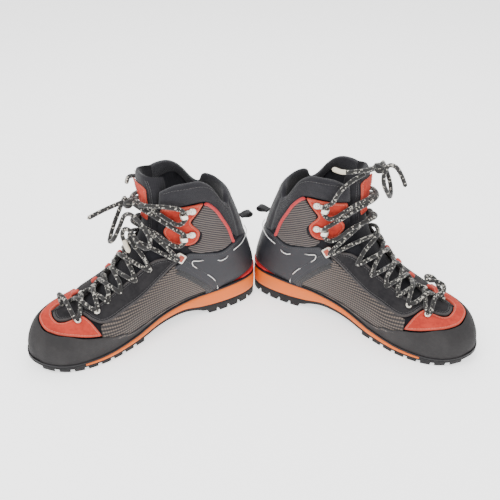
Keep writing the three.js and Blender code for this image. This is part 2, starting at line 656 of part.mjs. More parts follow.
// hand-set points of the free stretches, x y z at the reference size, from the ground
const RIGHT_LACE = {
  inner: [[150, 13, 169], [143, 24, 172]],
  outer: [[149, -24, 180], [142, -32, 184]],
  toe: [[247, 6, 71], [250, -4, 72]],
  bow: [
    [203, -8, 157], [188, -7, 162], [172, -6, 166], [161, -6, 170], [156, -14, 168], [159, -19, 158],
    [168, -18, 142], [177, -14, 127], [182, -7, 121], [179, 0, 127], [171, 2, 142], [164, 4, 156],
    [160, 11, 160], [156, 22, 157], [152, 33, 149], [150, 41, 139], [153, 41, 129], [159, 34, 130],
    [163, 26, 141], [167, 18, 149], [171, 16, 141], [171, 20, 130], [170, 23, 118],
  ],
};
const LEFT_LACE = {
  inner: [[142, 18, 203], [133, 32, 198], [124, 42, 187]],
  outer: [[147, -22, 196], [140, -33, 190]],
  toe: [[243, 15, 70], [249, 8, 75], [246, -1, 78], [236, -3, 79], [228, 2, 80], [224, -6, 80], [232, -12, 76]],
  bow: [
    [109, 37, 212], [121, 35, 209], [134, 30, 209], [145, 19, 209], [151, 8, 209], [153, -3, 210],
    [151, -13, 206], [154, -19, 195], [160, -19, 182], [165, -12, 173], [167, -3, 172], [166, 5, 180],
    [162, 9, 191], [160, 8, 202], [162, 1, 211], [168, -6, 208], [175, -10, 197], [181, -12, 184],
  ],
};

// ---- assembly ---------------------------------------------------------------------------------
/** One boot's named meshes. */
function boot(prefix, lean, laces) {
  const group = new THREE.Group();
  const add = (name, geometry, material) => {
    const mesh = new THREE.Mesh(geometry, material.clone());
    mesh.name = `${prefix}_${name}`;
    group.add(mesh);
  };
  add('outsole', outsole(), FINISH.rubber);
  add('midsole', midsole(), FINISH.foam);
  add('sole_board', board(), FINISH.board);
  add('heel_clip', clip(), FINISH.clip);
  add('insole', insole(), FINISH.insole);
  add('lining', lining(), FINISH.lining);
  add('rand', rand(), FINISH.rand);
  add('toe_overlay', toeOverlay(), FINISH.redSuede);
  add('vamp', vamp(), FINISH.greySuede);
  add('heel_counter', counter(), FINISH.counter);
  add('collar', collar(), FINISH.collar);
  add('tongue', tongue(lean), FINISH.collar);
  add('tongue_patch', tonguePatch(lean), FINISH.redSuede);
  add('pull_loop', pullLoop(), FINISH.webbing);
  for (const [side, word] of [[1, 'inner'], [-1, 'outer']]) {
    add(`side_panel_${word}`, sidePanel(side), FINISH.check);
    add(`ankle_panel_${word}`, anklePanel(side), FINISH.stripe);
    add(`ankle_overlay_${word}`, overlay(side), FINISH.redSuede);
    add(`link_${word}`, link(side), FINISH.metal);
    add(`cable_${word}`, cable(side), FINISH.cable);
    for (const [place, [u, v]] of Object.entries(HOOKS)) {
      add(`hook_${word}_${place}`, hook(u, side * v), FINISH.metal);
    }
  }
  add('lace_rows', laceRows(laces), FINISH.lace);
  add('lace_bow', tube(laces.bow.map(([x, y, z]) => onBoot(x, y, z)), LACE_D, 40), FINISH.lace);
  return group;
}

const right = boot('right', RIGHT_TONGUE_LEAN, RIGHT_LACE);
right.rotation.z = Math.PI + THREE.MathUtils.degToRad(TOE_OUT);
right.position.set(-HEEL_X, -HEEL_Y, 0);

const left = boot('left', LEFT_TONGUE_LEAN, LEFT_LACE);
left.scale.y = -1;
left.rotation.z = -THREE.MathUtils.degToRad(TOE_OUT);
left.position.set(HEEL_X, HEEL_Y, 0);

const pair = new THREE.Group();
pair.add(right, left);
const footprint = new THREE.Box3();
pair.updateMatrixWorld(true);
pair.traverse((part) => {
  if (part.isMesh && !part.name.endsWith('lace_bow')) footprint.expandByObject(part, true);
});
pair.position.set(
  -(footprint.min.x + footprint.max.x) / 2, -(footprint.min.y + footprint.max.y) / 2, -footprint.min.z);
export default pair;
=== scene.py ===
"""A pair of laced mountaineering boots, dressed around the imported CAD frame.

Each boot is worked out in its own millimetre frame (x from heel to toe, y to the inner side,
z up from the floor) on the surface of a last, and is then placed in the pair's frame in metres.
"""

from __future__ import annotations

import logging
import math
from dataclasses import dataclass, field
from enum import Enum
from typing import Callable, Sequence

import bpy
import numpy as np
from mathutils import Matrix, Vector
from mathutils.geometry import delaunay_2d_cdt

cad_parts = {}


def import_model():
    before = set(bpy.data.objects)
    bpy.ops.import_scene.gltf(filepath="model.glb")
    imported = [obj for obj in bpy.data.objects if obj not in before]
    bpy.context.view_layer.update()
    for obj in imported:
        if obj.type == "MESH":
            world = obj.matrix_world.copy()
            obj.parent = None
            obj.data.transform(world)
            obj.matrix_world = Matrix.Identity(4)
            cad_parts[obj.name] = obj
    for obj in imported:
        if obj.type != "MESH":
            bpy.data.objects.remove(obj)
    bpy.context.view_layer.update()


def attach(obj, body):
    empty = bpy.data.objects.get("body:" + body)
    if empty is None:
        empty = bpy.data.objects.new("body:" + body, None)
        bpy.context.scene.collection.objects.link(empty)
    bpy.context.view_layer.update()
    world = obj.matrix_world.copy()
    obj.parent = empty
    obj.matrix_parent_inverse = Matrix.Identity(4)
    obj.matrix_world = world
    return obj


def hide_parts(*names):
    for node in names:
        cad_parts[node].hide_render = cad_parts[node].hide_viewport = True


log = logging.getLogger("boots")
Array = np.ndarray
UV = tuple[float, float]
RGB = tuple[float, float, float]

# ---- sizes shared with the CAD part, in millimetres ------------------------------------------
LUG_DEPTH = 6.0
SOLE_BASE = 10.0
FRAME_T = 2.0
GAP = 0.3
PANEL_T = 2.0
LACE_D = 5.0
CABLE_D = 1.4
COLLAR_T = 8.5
LINING_SKIN = 2.6
COLLAR_PROUD = 2.5
RIGHT_TONGUE_LEAN = 13.0
LEFT_TONGUE_LEAN = 3.0
TONGUE_T = 5.0
TOE_OUT = math.radians(30.5)
HEEL_X = 8.4
HEEL_Y = 7.6
PAIR_Y = 80.7235
PLATE_REST = LUG_DEPTH - 2.2

RINGS = np.array([
    [298, 28, 297, 14, 4, 13, 2.0, 2.4], [292, 40, 291, 8, 22, 12, 2.0, 3.0],
    [280, 48, 278, 4, 36, 10, 2.1, 3.4], [260, 52, 256, 2, 47, 8, 2.1, 3.6],
    [233, 55, 228, 1, 53, 5, 2.1, 3.8], [206, 64, 196, 3, 53, 3, 2.1, 3.8],
    [187, 77, 164, 8, 46, 0, 2.1, 3.6], [172, 91, 132, 14, 40, -1, 2.1, 3.4],
    [160, 106, 98, 19, 37, -1, 2.1, 3.4], [152, 120, 62, 21, 36, 0, 2.1, 3.4],
    [148, 131, 26, 22, 35, 0, 2.1, 3.0], [145, 140, 3, 27, 35, 0, 2.1, 2.6],
    [144, 148, 0, 48, 36, 0, 2.1, 2.4], [142, 158, 6, 74, 38, 0, 2.2, 2.3],
    [140, 170, 14, 100, 40, 0, 2.2, 2.2], [138, 182, 24, 128, 43, 0, 2.3, 2.2],
    [136, 194, 34, 154, 45, 0, 2.3, 2.2], [134, 206, 44, 180, 47, 0, 2.3, 2.2],
    [132, 218, 54, 206, 49, 0, 2.3, 2.2],
])
PLAN = np.array([
    [-3, 0, 2], [0, 0, 15], [9, 0, 26], [28, 0, 33], [60, 0, 35], [100, -1, 33], [140, -1, 35],
    [180, 1, 45], [215, 4, 51], [245, 6, 49.5], [270, 8, 41], [287, 10, 28], [296, 12, 14],
    [299, 13, 3],
])
SOLE = np.array([
    [-3, 2.5, 7.5, 25], [40, 2, 7.5, 24.5], [80, 2, 8, 21.8], [92, 6, 9, 20.7],
    [110, 9.5, 12, 18], [130, 8, 10, 14], [150, 5, 6.8, 9.6], [168, 2, 3.6, 5.8],
    [185, 0.4, 1.4, 3], [215, 0, 0.6, 0.8], [245, 0.2, 0.7, -0.6], [262, 1, 1.4, -0.8],
    [280, 4, 4, 1.2], [299, 9, 9, 6.2],
])


# ---- curves through given points -------------------------------------------------------------
def spline(table: Array, t: Array | float) -> Array:
    """Rows of a table at places t, by Catmull-Rom interpolation.

    Args:
        table: rows of numbers.
        t: places counted in rows.

    Returns:
        One interpolated row for each place.
    """
    table = np.asarray(table, float)
    last = len(table) - 1
    x = np.clip(np.asarray(t, float), 0, last - 1e-9)
    i = np.floor(x).astype(int)
    f = (x - i)[..., None]
    a, b, d, e = (table[np.clip(i + k, 0, last)] for k in (-1, 0, 1, 2))
    return 0.5 * (
        2 * b + (d - a) * f + (2 * a - 5 * b + 4 * d - e) * f**2
        + (3 * b - a - 3 * d + e) * f**3
    )


def row_at(table: Array, x: Array | float) -> Array:
    """Rows of a table where its first column reaches x."""
    t = np.linspace(0, len(table) - 1, 1600)
    first = np.maximum.accumulate(spline(table, t)[:, 0])
    return spline(table, np.interp(x, first, t))


def plate_under(x: Array | float) -> Array:
    """Height of the rubber plate's underside at x."""
    return PLATE_REST + row_at(SOLE, x)[..., 1]


def foam_under(x: Array | float) -> Array:
    """Height of the foam's underside at x."""
    return LUG_DEPTH + row_at(SOLE, x)[..., 2]


def foam_top(x: Array | float) -> Array:
    """Height of the foam's top at x."""
    return SOLE_BASE + row_at(SOLE, x)[..., 3]


def upper_base(x: Array | float) -> Array:
    """Height at which the upper meets the sole unit at x."""
    return foam_top(x) + 2 * GAP + FRAME_T


def outline(x: Array | float, side: Array | float, inset: Array | float = 0.0) -> Array:
    """The sole's outline: y at x on one side, 1 for the inner side and -1 for the outer one."""
    row = row_at(PLAN, x)
    return row[..., 1] + side * np.maximum(row[..., 2] - inset, 1.2)


def unit(v: Array) -> Array:
    """Vectors scaled to length 1."""
    return v / np.maximum(np.linalg.norm(v, axis=-1, keepdims=True), 1e-9)


def last_point(u: Array | float, v: Array | float) -> Array:
    """Points of the last at ring u and turn v (0 front or top, 0.25 inner side, 0.5 back)."""
    u, v = np.broadcast_arrays(np.asarray(u, float), np.asarray(v, float))
    r = spline(RINGS, u)
    c, s = np.cos(2 * np.pi * v), np.sin(2 * np.pi * v)
    n = np.where(c > 0, r[..., 6], r[..., 7])
    along = np.sign(c) * np.abs(c) ** (2 / n)
    across = np.sign(s) * np.abs(s) ** (2 / n)
    return np.stack([
        (r[..., 0] + r[..., 2]) / 2 + (r[..., 0] - r[..., 2]) / 2 * along,
        r[..., 5] + r[..., 4] * across,
        (r[..., 1] + r[..., 3]) / 2 + (r[..., 1] - r[..., 3]) / 2 * along,
    ], -1)


def last_normal(u: Array | float, v: Array | float) -> Array:
    """Outward normals of the last."""
    d = 0.004
    du = last_point(np.asarray(u) + d, v) - last_point(np.asarray(u) - d, v)
    dv = last_point(u, np.asarray(v) + d) - last_point(u, np.asarray(v) - d)
    return unit(np.cross(dv, du))


def on_last(u: Array | float, v: Array | float, h: Array | float) -> Array:
    """Points h outside the last, never below the top of the sole unit."""
    h = np.asarray(h, float)
    p = last_point(u, v) + last_normal(u, v) * h[..., None]
    p[..., 2] = np.maximum(p[..., 2], upper_base(p[..., 0]) + GAP)
    return p


def jacobian(u: Array, v: Array) -> tuple[Array, Array]:
    """Derivatives of the last's surface by u and by v."""
    d = 0.003
    pu = (last_point(u + d, v) - last_point(u - d, v)) / (2 * d)
    pv = (last_point(u, v + d) - last_point(u, v - d)) / (2 * d)
    return pu, pv


def mean_scale(uv: Array) -> Array:
    """Mean millimetres for one ring and for one turn, over some places."""
    return np.array([np.mean(np.linalg.norm(d, axis=1)) for d in jacobian(uv[:, 0], uv[:, 1])])


def step_uv(uv: Array, move: Array) -> Array:
    """Moves surface points by small 3-D steps, in millimetres.

    Args:
        uv: places on the last.
        move: steps along the surface.

    Returns:
        The moved places.
    """
    pu, pv = jacobian(uv[:, 0], uv[:, 1])
    a, b, c = (np.sum(p * q, -1) for p, q in ((pu, pu), (pu, pv), (pv, pv)))
    e, f = np.sum(pu * move, -1), np.sum(pv * move, -1)
    det = np.maximum(a * c - b * b, 1e-6)
    return uv + np.stack([(c * e - b * f) / det, (a * f - b * e) / det], -1)


def both_toe(points: Sequence[UV], outer: float = 1.0) -> list[UV]:
    """A seam and its mirror image, joined round the toe at turn 0; outer narrows the image."""
    return [*points, *[(u, -outer * v) for u, v in points[:-1]][::-1]]


def both_heel(points: Sequence[UV]) -> list[UV]:
    """A seam and its mirror image, joined round the heel at turn 0.5."""
    return [*points, *[(u, 1 - v) for u, v in points[:-1]][::-1]]


def resample(points: Array, step: float, closed: bool = False) -> Array:
    """Points at equal distances along a polyline."""
    p = np.vstack([points, points[:1]]) if closed else points
    d = np.concatenate([[0], np.cumsum(np.linalg.norm(np.diff(p, axis=0), axis=1))])
    n = max(2, int(round(d[-1] / step)))
    s = np.linspace(0, d[-1], n + 1)
    out = np.stack([np.interp(s, d, p[:, k]) for k in range(p.shape[1])], -1)
    return out[:-1] if closed else out


def smooth_through(points: Sequence[Sequence[float]], step: float = 1.5) -> Array:
    """A centripetal Catmull-Rom curve through 3-D points, sampled at equal steps."""
    p = np.asarray(points, float)
    p = np.vstack([2 * p[0] - p[1], p, 2 * p[-1] - p[-2]])
    out = []
    for i in range(1, len(p) - 2):
        a, b, c, d = p[i - 1:i + 3]
        t = [0.0]
        for q, r in ((a, b), (b, c), (c, d)):
            t.append(t[-1] + max(np.linalg.norm(r - q), 1e-6) ** 0.5)
        s = np.linspace(t[1], t[2], 12, endpoint=i == len(p) - 3)[:, None]
        a1 = (t[1] - s) / (t[1] - t[0]) * a + (s - t[0]) / (t[1] - t[0]) * b
        a2 = (t[2] - s) / (t[2] - t[1]) * b + (s - t[1]) / (t[2] - t[1]) * c
        a3 = (t[3] - s) / (t[3] - t[2]) * c + (s - t[2]) / (t[3] - t[2]) * d
        b1 = (t[2] - s) / (t[2] - t[0]) * a1 + (s - t[0]) / (t[2] - t[0]) * a2
        b2 = (t[3] - s) / (t[3] - t[1]) * a2 + (s - t[1]) / (t[3] - t[1]) * a3
        out.append((t[2] - s) / (t[2] - t[1]) * b1 + (s - t[1]) / (t[2] - t[1]) * b2)
    return resample(np.vstack(out), step)


# ---- shader sockets that can be used in sums -------------------------------------------------
class Sock:
    """A shader output, with arithmetic that adds Math nodes."""

    def __init__(self, shader: "Shader", out: bpy.types.NodeSocket) -> None:
        """Wraps one output of a shader."""
        self.shader = shader
        self.out = out

    def _math(self, kind: str, *args: "Sock | float") -> "Sock":
        """Adds one Math node and returns its result."""
        return self.shader.node("ShaderNodeMath", {"operation": kind}, dict(enumerate(args)))

    def __add__(self, other: "Sock | float") -> "Sock":
        """Sum."""
        return self._math("ADD", self, other)

    def __sub__(self, other: "Sock | float") -> "Sock":
        """Difference."""
        return self._math("SUBTRACT", self, other)

    def __rsub__(self, other: float) -> "Sock":
        """Difference from a number."""
        return self._math("SUBTRACT", other, self)

    def __mul__(self, other: "Sock | float") -> "Sock":
        """Product."""
        return self._math("MULTIPLY", self, other)

    def __truediv__(self, other: "Sock | float") -> "Sock":
        """Quotient."""
        return self._math("DIVIDE", self, other)

    def __pow__(self, other: "Sock | float") -> "Sock":
        """Power."""
        return self._math("POWER", self, other)

    __radd__ = __add__
    __rmul__ = __mul__

    def sin(self) -> "Sock":
        """Sine of the value."""
        return self._math("SINE", self)

    def abs(self) -> "Sock":
        """Value without its sign."""
        return self._math("ABSOLUTE", self)

    def fract(self) -> "Sock":
        """Part after the decimal point."""
        return self._math("FRACT", self)

    def floor(self) -> "Sock":
        """Whole part."""
        return self._math("FLOOR", self)

    def top(self, other: "Sock | float") -> "Sock":
        """The larger of two values."""
        return self._math("MAXIMUM", self, other)

    def fade(self, low: float, high: float) -> "Sock":
        """0 up to low, 1 from high on, and a smooth change between them."""
        settings = {"interpolation_type": "SMOOTHSTEP"}
        return self.shader.node("ShaderNodeMapRange", settings, {0: self, 1: low, 2: high})


class Shader:
    """One material and the nodes that feed its Principled surface."""

    def __init__(self, name: str, **uniform: float | RGB) -> None:
        """Makes an empty material."""
        self.material = bpy.data.materials.new(name)
        self.material.use_nodes = True
        self.tree = self.material.node_tree
        self.surface = self.tree.nodes["Principled BSDF"]
        for key, value in uniform.items():
            socket = self.surface.inputs[key.replace("_", " ")]
            colour = socket.type == "RGBA"
            socket.default_value = (*value, 1.0) if colour else value

    def node(
        self, kind: str, settings: dict | None = None, inputs: dict | None = None,
        out: int | str = 0,
    ) -> Sock:
        """Adds one node.

        Args:
            kind: type name of the node.
            settings: its properties.
            inputs: values or sockets by input index or name.
            out: which output is returned.

        Returns:
            The output.
        """
        node = self.tree.nodes.new(kind)
        for key, value in (settings or {}).items():
            setattr(node, key, value)
        for key, value in (inputs or {}).items():
            if isinstance(value, Sock):
                self.tree.links.new(value.out, node.inputs[key])
            elif value is not None:
                node.inputs[key].default_value = value
        return Sock(self, node.outputs[out])

    def flat(self) -> tuple[Sock, Sock]:
        """The two flat coordinates of the piece, in millimetres."""
        uv = self.node("ShaderNodeUVMap", {"uv_map": "flat"})
        x = self.node("ShaderNodeSeparateXYZ", None, {0: uv}, 0)
        y = self.node("ShaderNodeSeparateXYZ", None, {0: uv}, 1)
        return x * 10.0, y * 10.0

    def solid(self) -> Sock:
        """Coordinates fixed in the piece, in metres."""
        return self.node("ShaderNodeTexCoord", None, None, "Object")

    def edge(self) -> Sock:
        """1 at a piece's cut edge and 0 inside it."""
        return self.node("ShaderNodeAttribute", {"attribute_name": "edge"}, None, "Fac")

    def noise(self, scale: float, detail: float = 3.0, rough: float = 0.55,
              at: Sock | None = None) -> Sock:
        """Soft noise of about 0.5."""
        inputs = {"Vector": at or self.solid(), "Scale": scale, "Detail": detail,
                  "Roughness": rough}
        return self.node("ShaderNodeTexNoise", None, inputs)

    def cells(self, scale: float, at: Sock | None = None) -> Sock:
        """Distance to the middle of the nearest cell."""
        inputs = {"Vector": at or self.solid(), "Scale": scale}
        return self.node("ShaderNodeTexVoronoi", {"feature": "F1"}, inputs)

    def mix(self, a: Sock | RGB, b: Sock | RGB, amount: Sock | float) -> Sock:
        """Colour between a and b."""
        a, b = ((*c, 1.0) if isinstance(c, tuple) else c for c in (a, b))
        settings = {"data_type": "RGBA", "blend_type": "MIX"}
        return self.node("ShaderNodeMix", settings, {0: amount, 6: a, 7: b}, 2)

    def set(self, name: str, value: Sock) -> None:
        """Feeds an input of the surface."""
        self.tree.links.new(value.out, self.surface.inputs[name])

    def bump(self, *layers: tuple[Sock, float]) -> None:
        """Raises the surface by layers of height (0 to 1) and depth in millimetres."""
        normal = None
        for height, depth in layers:
            inputs = {"Height": height, "Distance": depth / 1000, "Strength": 1.0}
            if normal is not None:
                inputs["Normal"] = normal
            normal = self.node("ShaderNodeBump", None, inputs)
        if normal is not None:
            self.set("Normal", normal)


# ---- finishes --------------------------------------------------------------------------------
@dataclass(frozen=True)
class Suede:
    """Napped leather with mottling, and paler worn edges."""

    name: str
    colour: RGB
    dark: RGB
    worn: RGB
    wear: float = 0.6

    def build(self) -> bpy.types.Material:
        """Returns the material."""
        s = Shader(self.name, Roughness=0.88, Sheen_Weight=0.35, Sheen_Roughness=0.4,
                   Sheen_Tint=self.worn, Specular_IOR_Level=0.25)
        blotch = s.noise(55, 4, 0.6)
        nap = s.noise(1500, 2, 0.7)
        brushed = s.noise(260, 3, 0.6)
        base = s.mix(self.dark, self.colour, (blotch * 0.7 + brushed * 0.5).fade(0.38, 0.78))
        rub = (s.edge() * 1.1 + blotch * 0.5 - 0.35).fade(0.3, 0.95) * self.wear
        base = s.mix(base, self.worn, rub + nap.fade(0.55, 0.8) * 0.12)
        s.set("Base Color", base)
        s.set("Roughness", brushed * 0.2 + 0.76)
        s.bump((nap, 0.25), (brushed, 0.35))
        return s.material


@dataclass(frozen=True)
class CheckCloth:
    """Ripstop cloth: stripes along the boot crossed by dark lines."""

    name: str
    light: RGB
    dark: RGB
    line: RGB

    def build(self) -> bpy.types.Material:
        """Returns the material."""
        s = Shader(self.name, Roughness=0.8, Sheen_Weight=0.15, Specular_IOR_Level=0.3)
        x, y = s.flat()
        wobble = s.noise(40, 2) - 0.5
        row = (y / 3.0 + wobble * 0.12).fract()
        column = (x / 2.8 + wobble * 0.1).fract()
        stripe = (row - 0.5).abs().fade(0.17, 0.27)
        cross = (column - 0.5).abs().fade(0.28, 0.38)
        thread_x = (x * 9.0).sin() * 0.5 + 0.5
        thread_y = (y * 9.0).sin() * 0.5 + 0.5
        weave = thread_x * thread_y
        base = s.mix(self.light, self.dark, stripe)
        base = s.mix(base, self.line, cross * (x.fade(95.0, 165.0) * 0.55 + 0.15))
        base = s.mix(base, self.dark, s.noise(120, 4).fade(0.5, 0.9) * 0.35)
        s.set("Base Color", s.mix(base, self.line, weave * 0.18))
        s.set("Roughness", weave * 0.15 + 0.7)
        s.bump((weave, 0.12), (stripe.top(cross), 0.25))
        return s.material


@dataclass(frozen=True)
class StripeCloth:
    """Cloth of fine slanting stripes."""

    name: str
    light: RGB
    dark: RGB
    pitch: float
    slope: float

    def build(self) -> bpy.types.Material:
        """Returns the material."""
        s = Shader(self.name, Roughness=0.8, Sheen_Weight=0.2, Specular_IOR_Level=0.3)
        x, y = s.flat()
        c, d = math.cos(self.slope), math.sin(self.slope)
        across = y * c + x * d
        along = x * c - y * d
        wobble = s.noise(60, 2) - 0.5
        stripe = ((across / self.pitch + wobble * 0.1).fract() - 0.5).abs().fade(0.2, 0.34)
        dash = ((along / 1.1).fract() - 0.5).abs() * 2.0
        base = s.mix(self.dark, self.light, stripe * (dash * 0.35 + 0.65))
        s.set("Base Color", s.mix(base, self.dark, s.noise(90, 4).fade(0.5, 0.85) * 0.4))
        s.set("Roughness", stripe * 0.1 + 0.72)
        s.bump((stripe, 0.3), (dash, 0.08))
        return s.material


@dataclass(frozen=True)
class Knit:
    """Soft padded cloth with a fine knitted face."""

    name: str
    colour: RGB
    light: RGB
    sheen: float = 0.35
    scale: float = 1.0

    def build(self) -> bpy.types.Material:
        """Returns the material."""
        s = Shader(self.name, Roughness=0.92, Sheen_Weight=self.sheen, Sheen_Roughness=0.5,
                   Specular_IOR_Level=0.2)
        x, y = s.flat()
        rib = (x * (5.0 * self.scale)).sin() * 0.5 + 0.5
        purl = (y * (7.0 * self.scale)).sin() * 0.5 + 0.5
        loops = rib * purl
        soft = s.noise(70, 4, 0.6)
        fuzz = s.noise(900, 2, 0.7)
        base = s.mix(self.colour, self.light, loops * 0.3 + soft.fade(0.45, 0.8) * 0.4)
        s.set("Base Color", s.mix(base, self.light, fuzz.fade(0.6, 0.8) * 0.2))
        s.bump((loops, 0.18), (soft, 1.1), (fuzz, 0.12))
        return s.material


@dataclass(frozen=True)
class Moulded:
    """Moulded rubber, foam or smooth synthetic, with a fine grain and some dust."""

    name: str
    colour: RGB
    tint: RGB
    rough: float
    grain: float = 0.15
    dust: float = 0.3
    coat: float = 0.0
    gloss: float = 0.4

    def build(self) -> bpy.types.Material:
        """Returns the material."""
        s = Shader(self.name, Roughness=self.rough, Coat_Weight=self.coat,
                   Specular_IOR_Level=self.gloss)
        cloud = s.noise(38, 5, 0.6)
        fine = s.noise(700, 3, 0.6)
        pores = s.cells(1100)
        scuff = s.noise(150, 6, 0.7)
        base = s.mix(self.colour, self.tint, cloud.fade(0.4, 0.75) * self.dust)
        worn = (s.edge() * 0.8 + scuff * 0.6 - 0.5).fade(0.25, 0.7) * self.dust
        s.set("Base Color", s.mix(base, self.tint, worn))
        s.set("Roughness", scuff * 0.18 + (self.rough - 0.09))
        s.bump((fine, self.grain), (pores, self.grain * 0.6), (cloud, self.grain * 1.6))
        return s.material


@dataclass(frozen=True)
class Metal:
    """Brushed bare or coated metal."""

    name: str
    colour: RGB
    rough: float = 0.32

    def build(self) -> bpy.types.Material:
        """Returns the material."""
        s = Shader(self.name, Roughness=self.rough, Metallic=0.85)
        brush = s.noise(420, 5, 0.7)
        grime = s.noise(160, 4, 0.6)
        dark = tuple(c * 0.45 for c in self.colour)
        s.set("Base Color", s.mix(self.colour, dark, grime.fade(0.55, 0.8) * 0.5))
        s.set("Roughness", brush * 0.25 + (self.rough - 0.08))
        s.bump((brush, 0.04))
        return s.material


@dataclass(frozen=True)
class Braid:
    """Round braided cord with slanting strands, light flecks and painted shade in the grooves
    between strands.
    """

    name: str
    colour: RGB
    fleck: RGB
    share: float
    strand: float = 2.2

    def build(self) -> bpy.types.Material:
        """Returns the material."""
        s = Shader(self.name, Roughness=0.85, Sheen_Weight=0.3, Specular_IOR_Level=0.25)
        along, around = s.flat()
        one = along / self.strand + around * 5.0
        two = along / self.strand - around * 5.0
        ridge_a = ((one.fract() - 0.5).abs() * 2.0)
        ridge_b = ((two.fract() - 0.5).abs() * 2.0)
        cell = s.node("ShaderNodeCombineXYZ", None, {0: one.floor(), 1: two.floor(), 2: 0.5})
        pick = s.node("ShaderNodeTexWhiteNoise", None, {0: cell})
        light = pick.fade(1 - self.share - 0.02, 1 - self.share + 0.02)
        base = s.mix(self.colour, self.fleck, light)
        # painted shade: the grooves between the strands are darkened towards a shaded copy of the
        # cord's colour
        groove_shade = (1.0 - ridge_a * ridge_b) * 0.55
        dark = tuple(c * 0.35 for c in self.colour)
        s.set("Base Color", s.mix(base, dark, groove_shade * 0.6))
        s.bump((ridge_a * ridge_b, 0.35), (s.noise(1800, 2), 0.08))
        return s.material


@dataclass(frozen=True)
class Ribbed:
    """Narrow woven tape or moulded ribs across a small piece."""

    name: str
    colour: RGB
    light: RGB
    pitch: float = 1.2
    depth: float = 0.3

    def build(self) -> bpy.types.Material:
        """Returns the material."""
        s = Shader(self.name, Roughness=0.75, Sheen_Weight=0.15, Specular_IOR_Level=0.35)
        x, y = s.flat()
        rib = ((x / self.pitch).fract() - 0.5).abs() * 2.0
        pick = (y * 5.0).sin() * 0.5 + 0.5
        s.set("Base Color", s.mix(self.colour, self.light, rib * 0.5 + pick * 0.15))
        s.bump((rib, self.depth), (pick, 0.08))
        return s.material


@dataclass(frozen=True)
class Thread:
    """Sewing thread."""

    name: str
    colour: RGB

    def build(self) -> bpy.types.Material:
        """Returns the material."""
        s = Shader(self.name, Roughness=0.6, Sheen_Weight=0.2)
        dark = tuple(c * 0.6 for c in self.colour)
        s.set("Base Color", s.mix(self.colour, dark, s.noise(900, 3)))
        s.bump((s.noise(2600, 2), 0.08))
        return s.material


MADE: dict[str, bpy.types.Material] = {}


class Finish(Enum):
    """Every finish of the pair."""

    RED_SUEDE = Suede("red_suede", (0.47, 0.042, 0.024), (0.31, 0.022, 0.013),
                      (0.58, 0.14, 0.09), 0.3)
    GREY_SUEDE = Suede("grey_suede", (0.020, 0.0185, 0.020), (0.0075, 0.007, 0.0085),
                       (0.085, 0.076, 0.074), 0.6)
    CHECK = CheckCloth("check_cloth", (0.155, 0.120, 0.098), (0.032, 0.028, 0.028),
                       (0.014, 0.013, 0.014))
    STRIPE = StripeCloth("stripe_cloth", (0.125, 0.100, 0.088), (0.016, 0.0135, 0.0155), 2.9, -0.42)
    COLLAR = Knit("collar_cloth", (0.0135, 0.013, 0.016), (0.034, 0.033, 0.038), 0.16)
    TONGUE = Knit("tongue_cloth", (0.0125, 0.012, 0.0145), (0.032, 0.031, 0.036), 0.16, 0.8)
    LINING = Knit("lining_cloth", (0.0075, 0.0075, 0.010), (0.017, 0.017, 0.022), 0.1, 0.6)
    FOOTBED = Knit("footbed_cloth", (0.05, 0.05, 0.056), (0.12, 0.12, 0.13), 0.2, 0.5)
    COUNTER = Moulded("slate_synthetic", (0.0155, 0.016, 0.0205), (0.034, 0.035, 0.041),
                      0.55, 0.12, 0.35)
    RAND = Moulded("rand_rubber", (0.021, 0.0195, 0.020), (0.044, 0.041, 0.041), 0.74, 0.3,
                   0.45, 0.0, 0.25)
    RUBBER = Moulded("sole_rubber", (0.0075, 0.007, 0.0078), (0.024, 0.023, 0.023), 0.7, 0.3,
                     0.4, 0.0, 0.3)
    BOARD = Moulded("black_board", (0.007, 0.006, 0.0075), (0.016, 0.015, 0.016), 0.55, 0.1, 0.3)
    FOAM = Moulded("orange_foam", (0.72, 0.135, 0.006), (0.50, 0.15, 0.035), 0.6, 0.2, 0.3)
    CLIP = Moulded("red_clip", (0.52, 0.006, 0.012), (0.55, 0.05, 0.045), 0.4, 0.08, 0.3, 0.1)
    TAB = Moulded("red_tab", (0.47, 0.045, 0.03), (0.58, 0.13, 0.09), 0.6, 0.15, 0.3)
    PIPING = Ribbed("crimson_piping", (0.40, 0.010, 0.016), (0.55, 0.05, 0.05), 1.0, 0.18)
    METAL = Metal("silver_metal", (0.74, 0.70, 0.62), 0.34)
    CABLE = Metal("cable_steel", (0.82, 0.82, 0.80), 0.4)
    LACE = Braid("lace_cord", (0.020, 0.019, 0.0185), (0.60, 0.57, 0.50), 0.15, 1.7)
    AGLET = Moulded("cream_aglet", (0.62, 0.56, 0.44), (0.4, 0.36, 0.3), 0.4, 0.05, 0.3, 0.2)
    WEBBING = Ribbed("webbing", (0.010, 0.010, 0.011), (0.035, 0.035, 0.038), 1.1, 0.35)
    INSERT = Ribbed("red_insert", (0.40, 0.05, 0.03), (0.60, 0.16, 0.10), 1.6, 0.5)
    RED_THREAD = Thread("red_thread", (0.60, 0.16, 0.10))
    GREY_THREAD = Thread("grey_thread", (0.05, 0.048, 0.05))
    # painted shadow: near-black finish for the patches that stand for the shade inside the lace
    # slots
    SLOT_SHADOW = Moulded("slot_shadow", (0.004, 0.004, 0.004), (0.01, 0.01, 0.01), 0.8)

    def material(self) -> bpy.types.Material:
        """Returns the finish's material, building it the first time."""
        if self.name not in MADE:
            MADE[self.name] = self.value.build()
        return MADE[self.name]


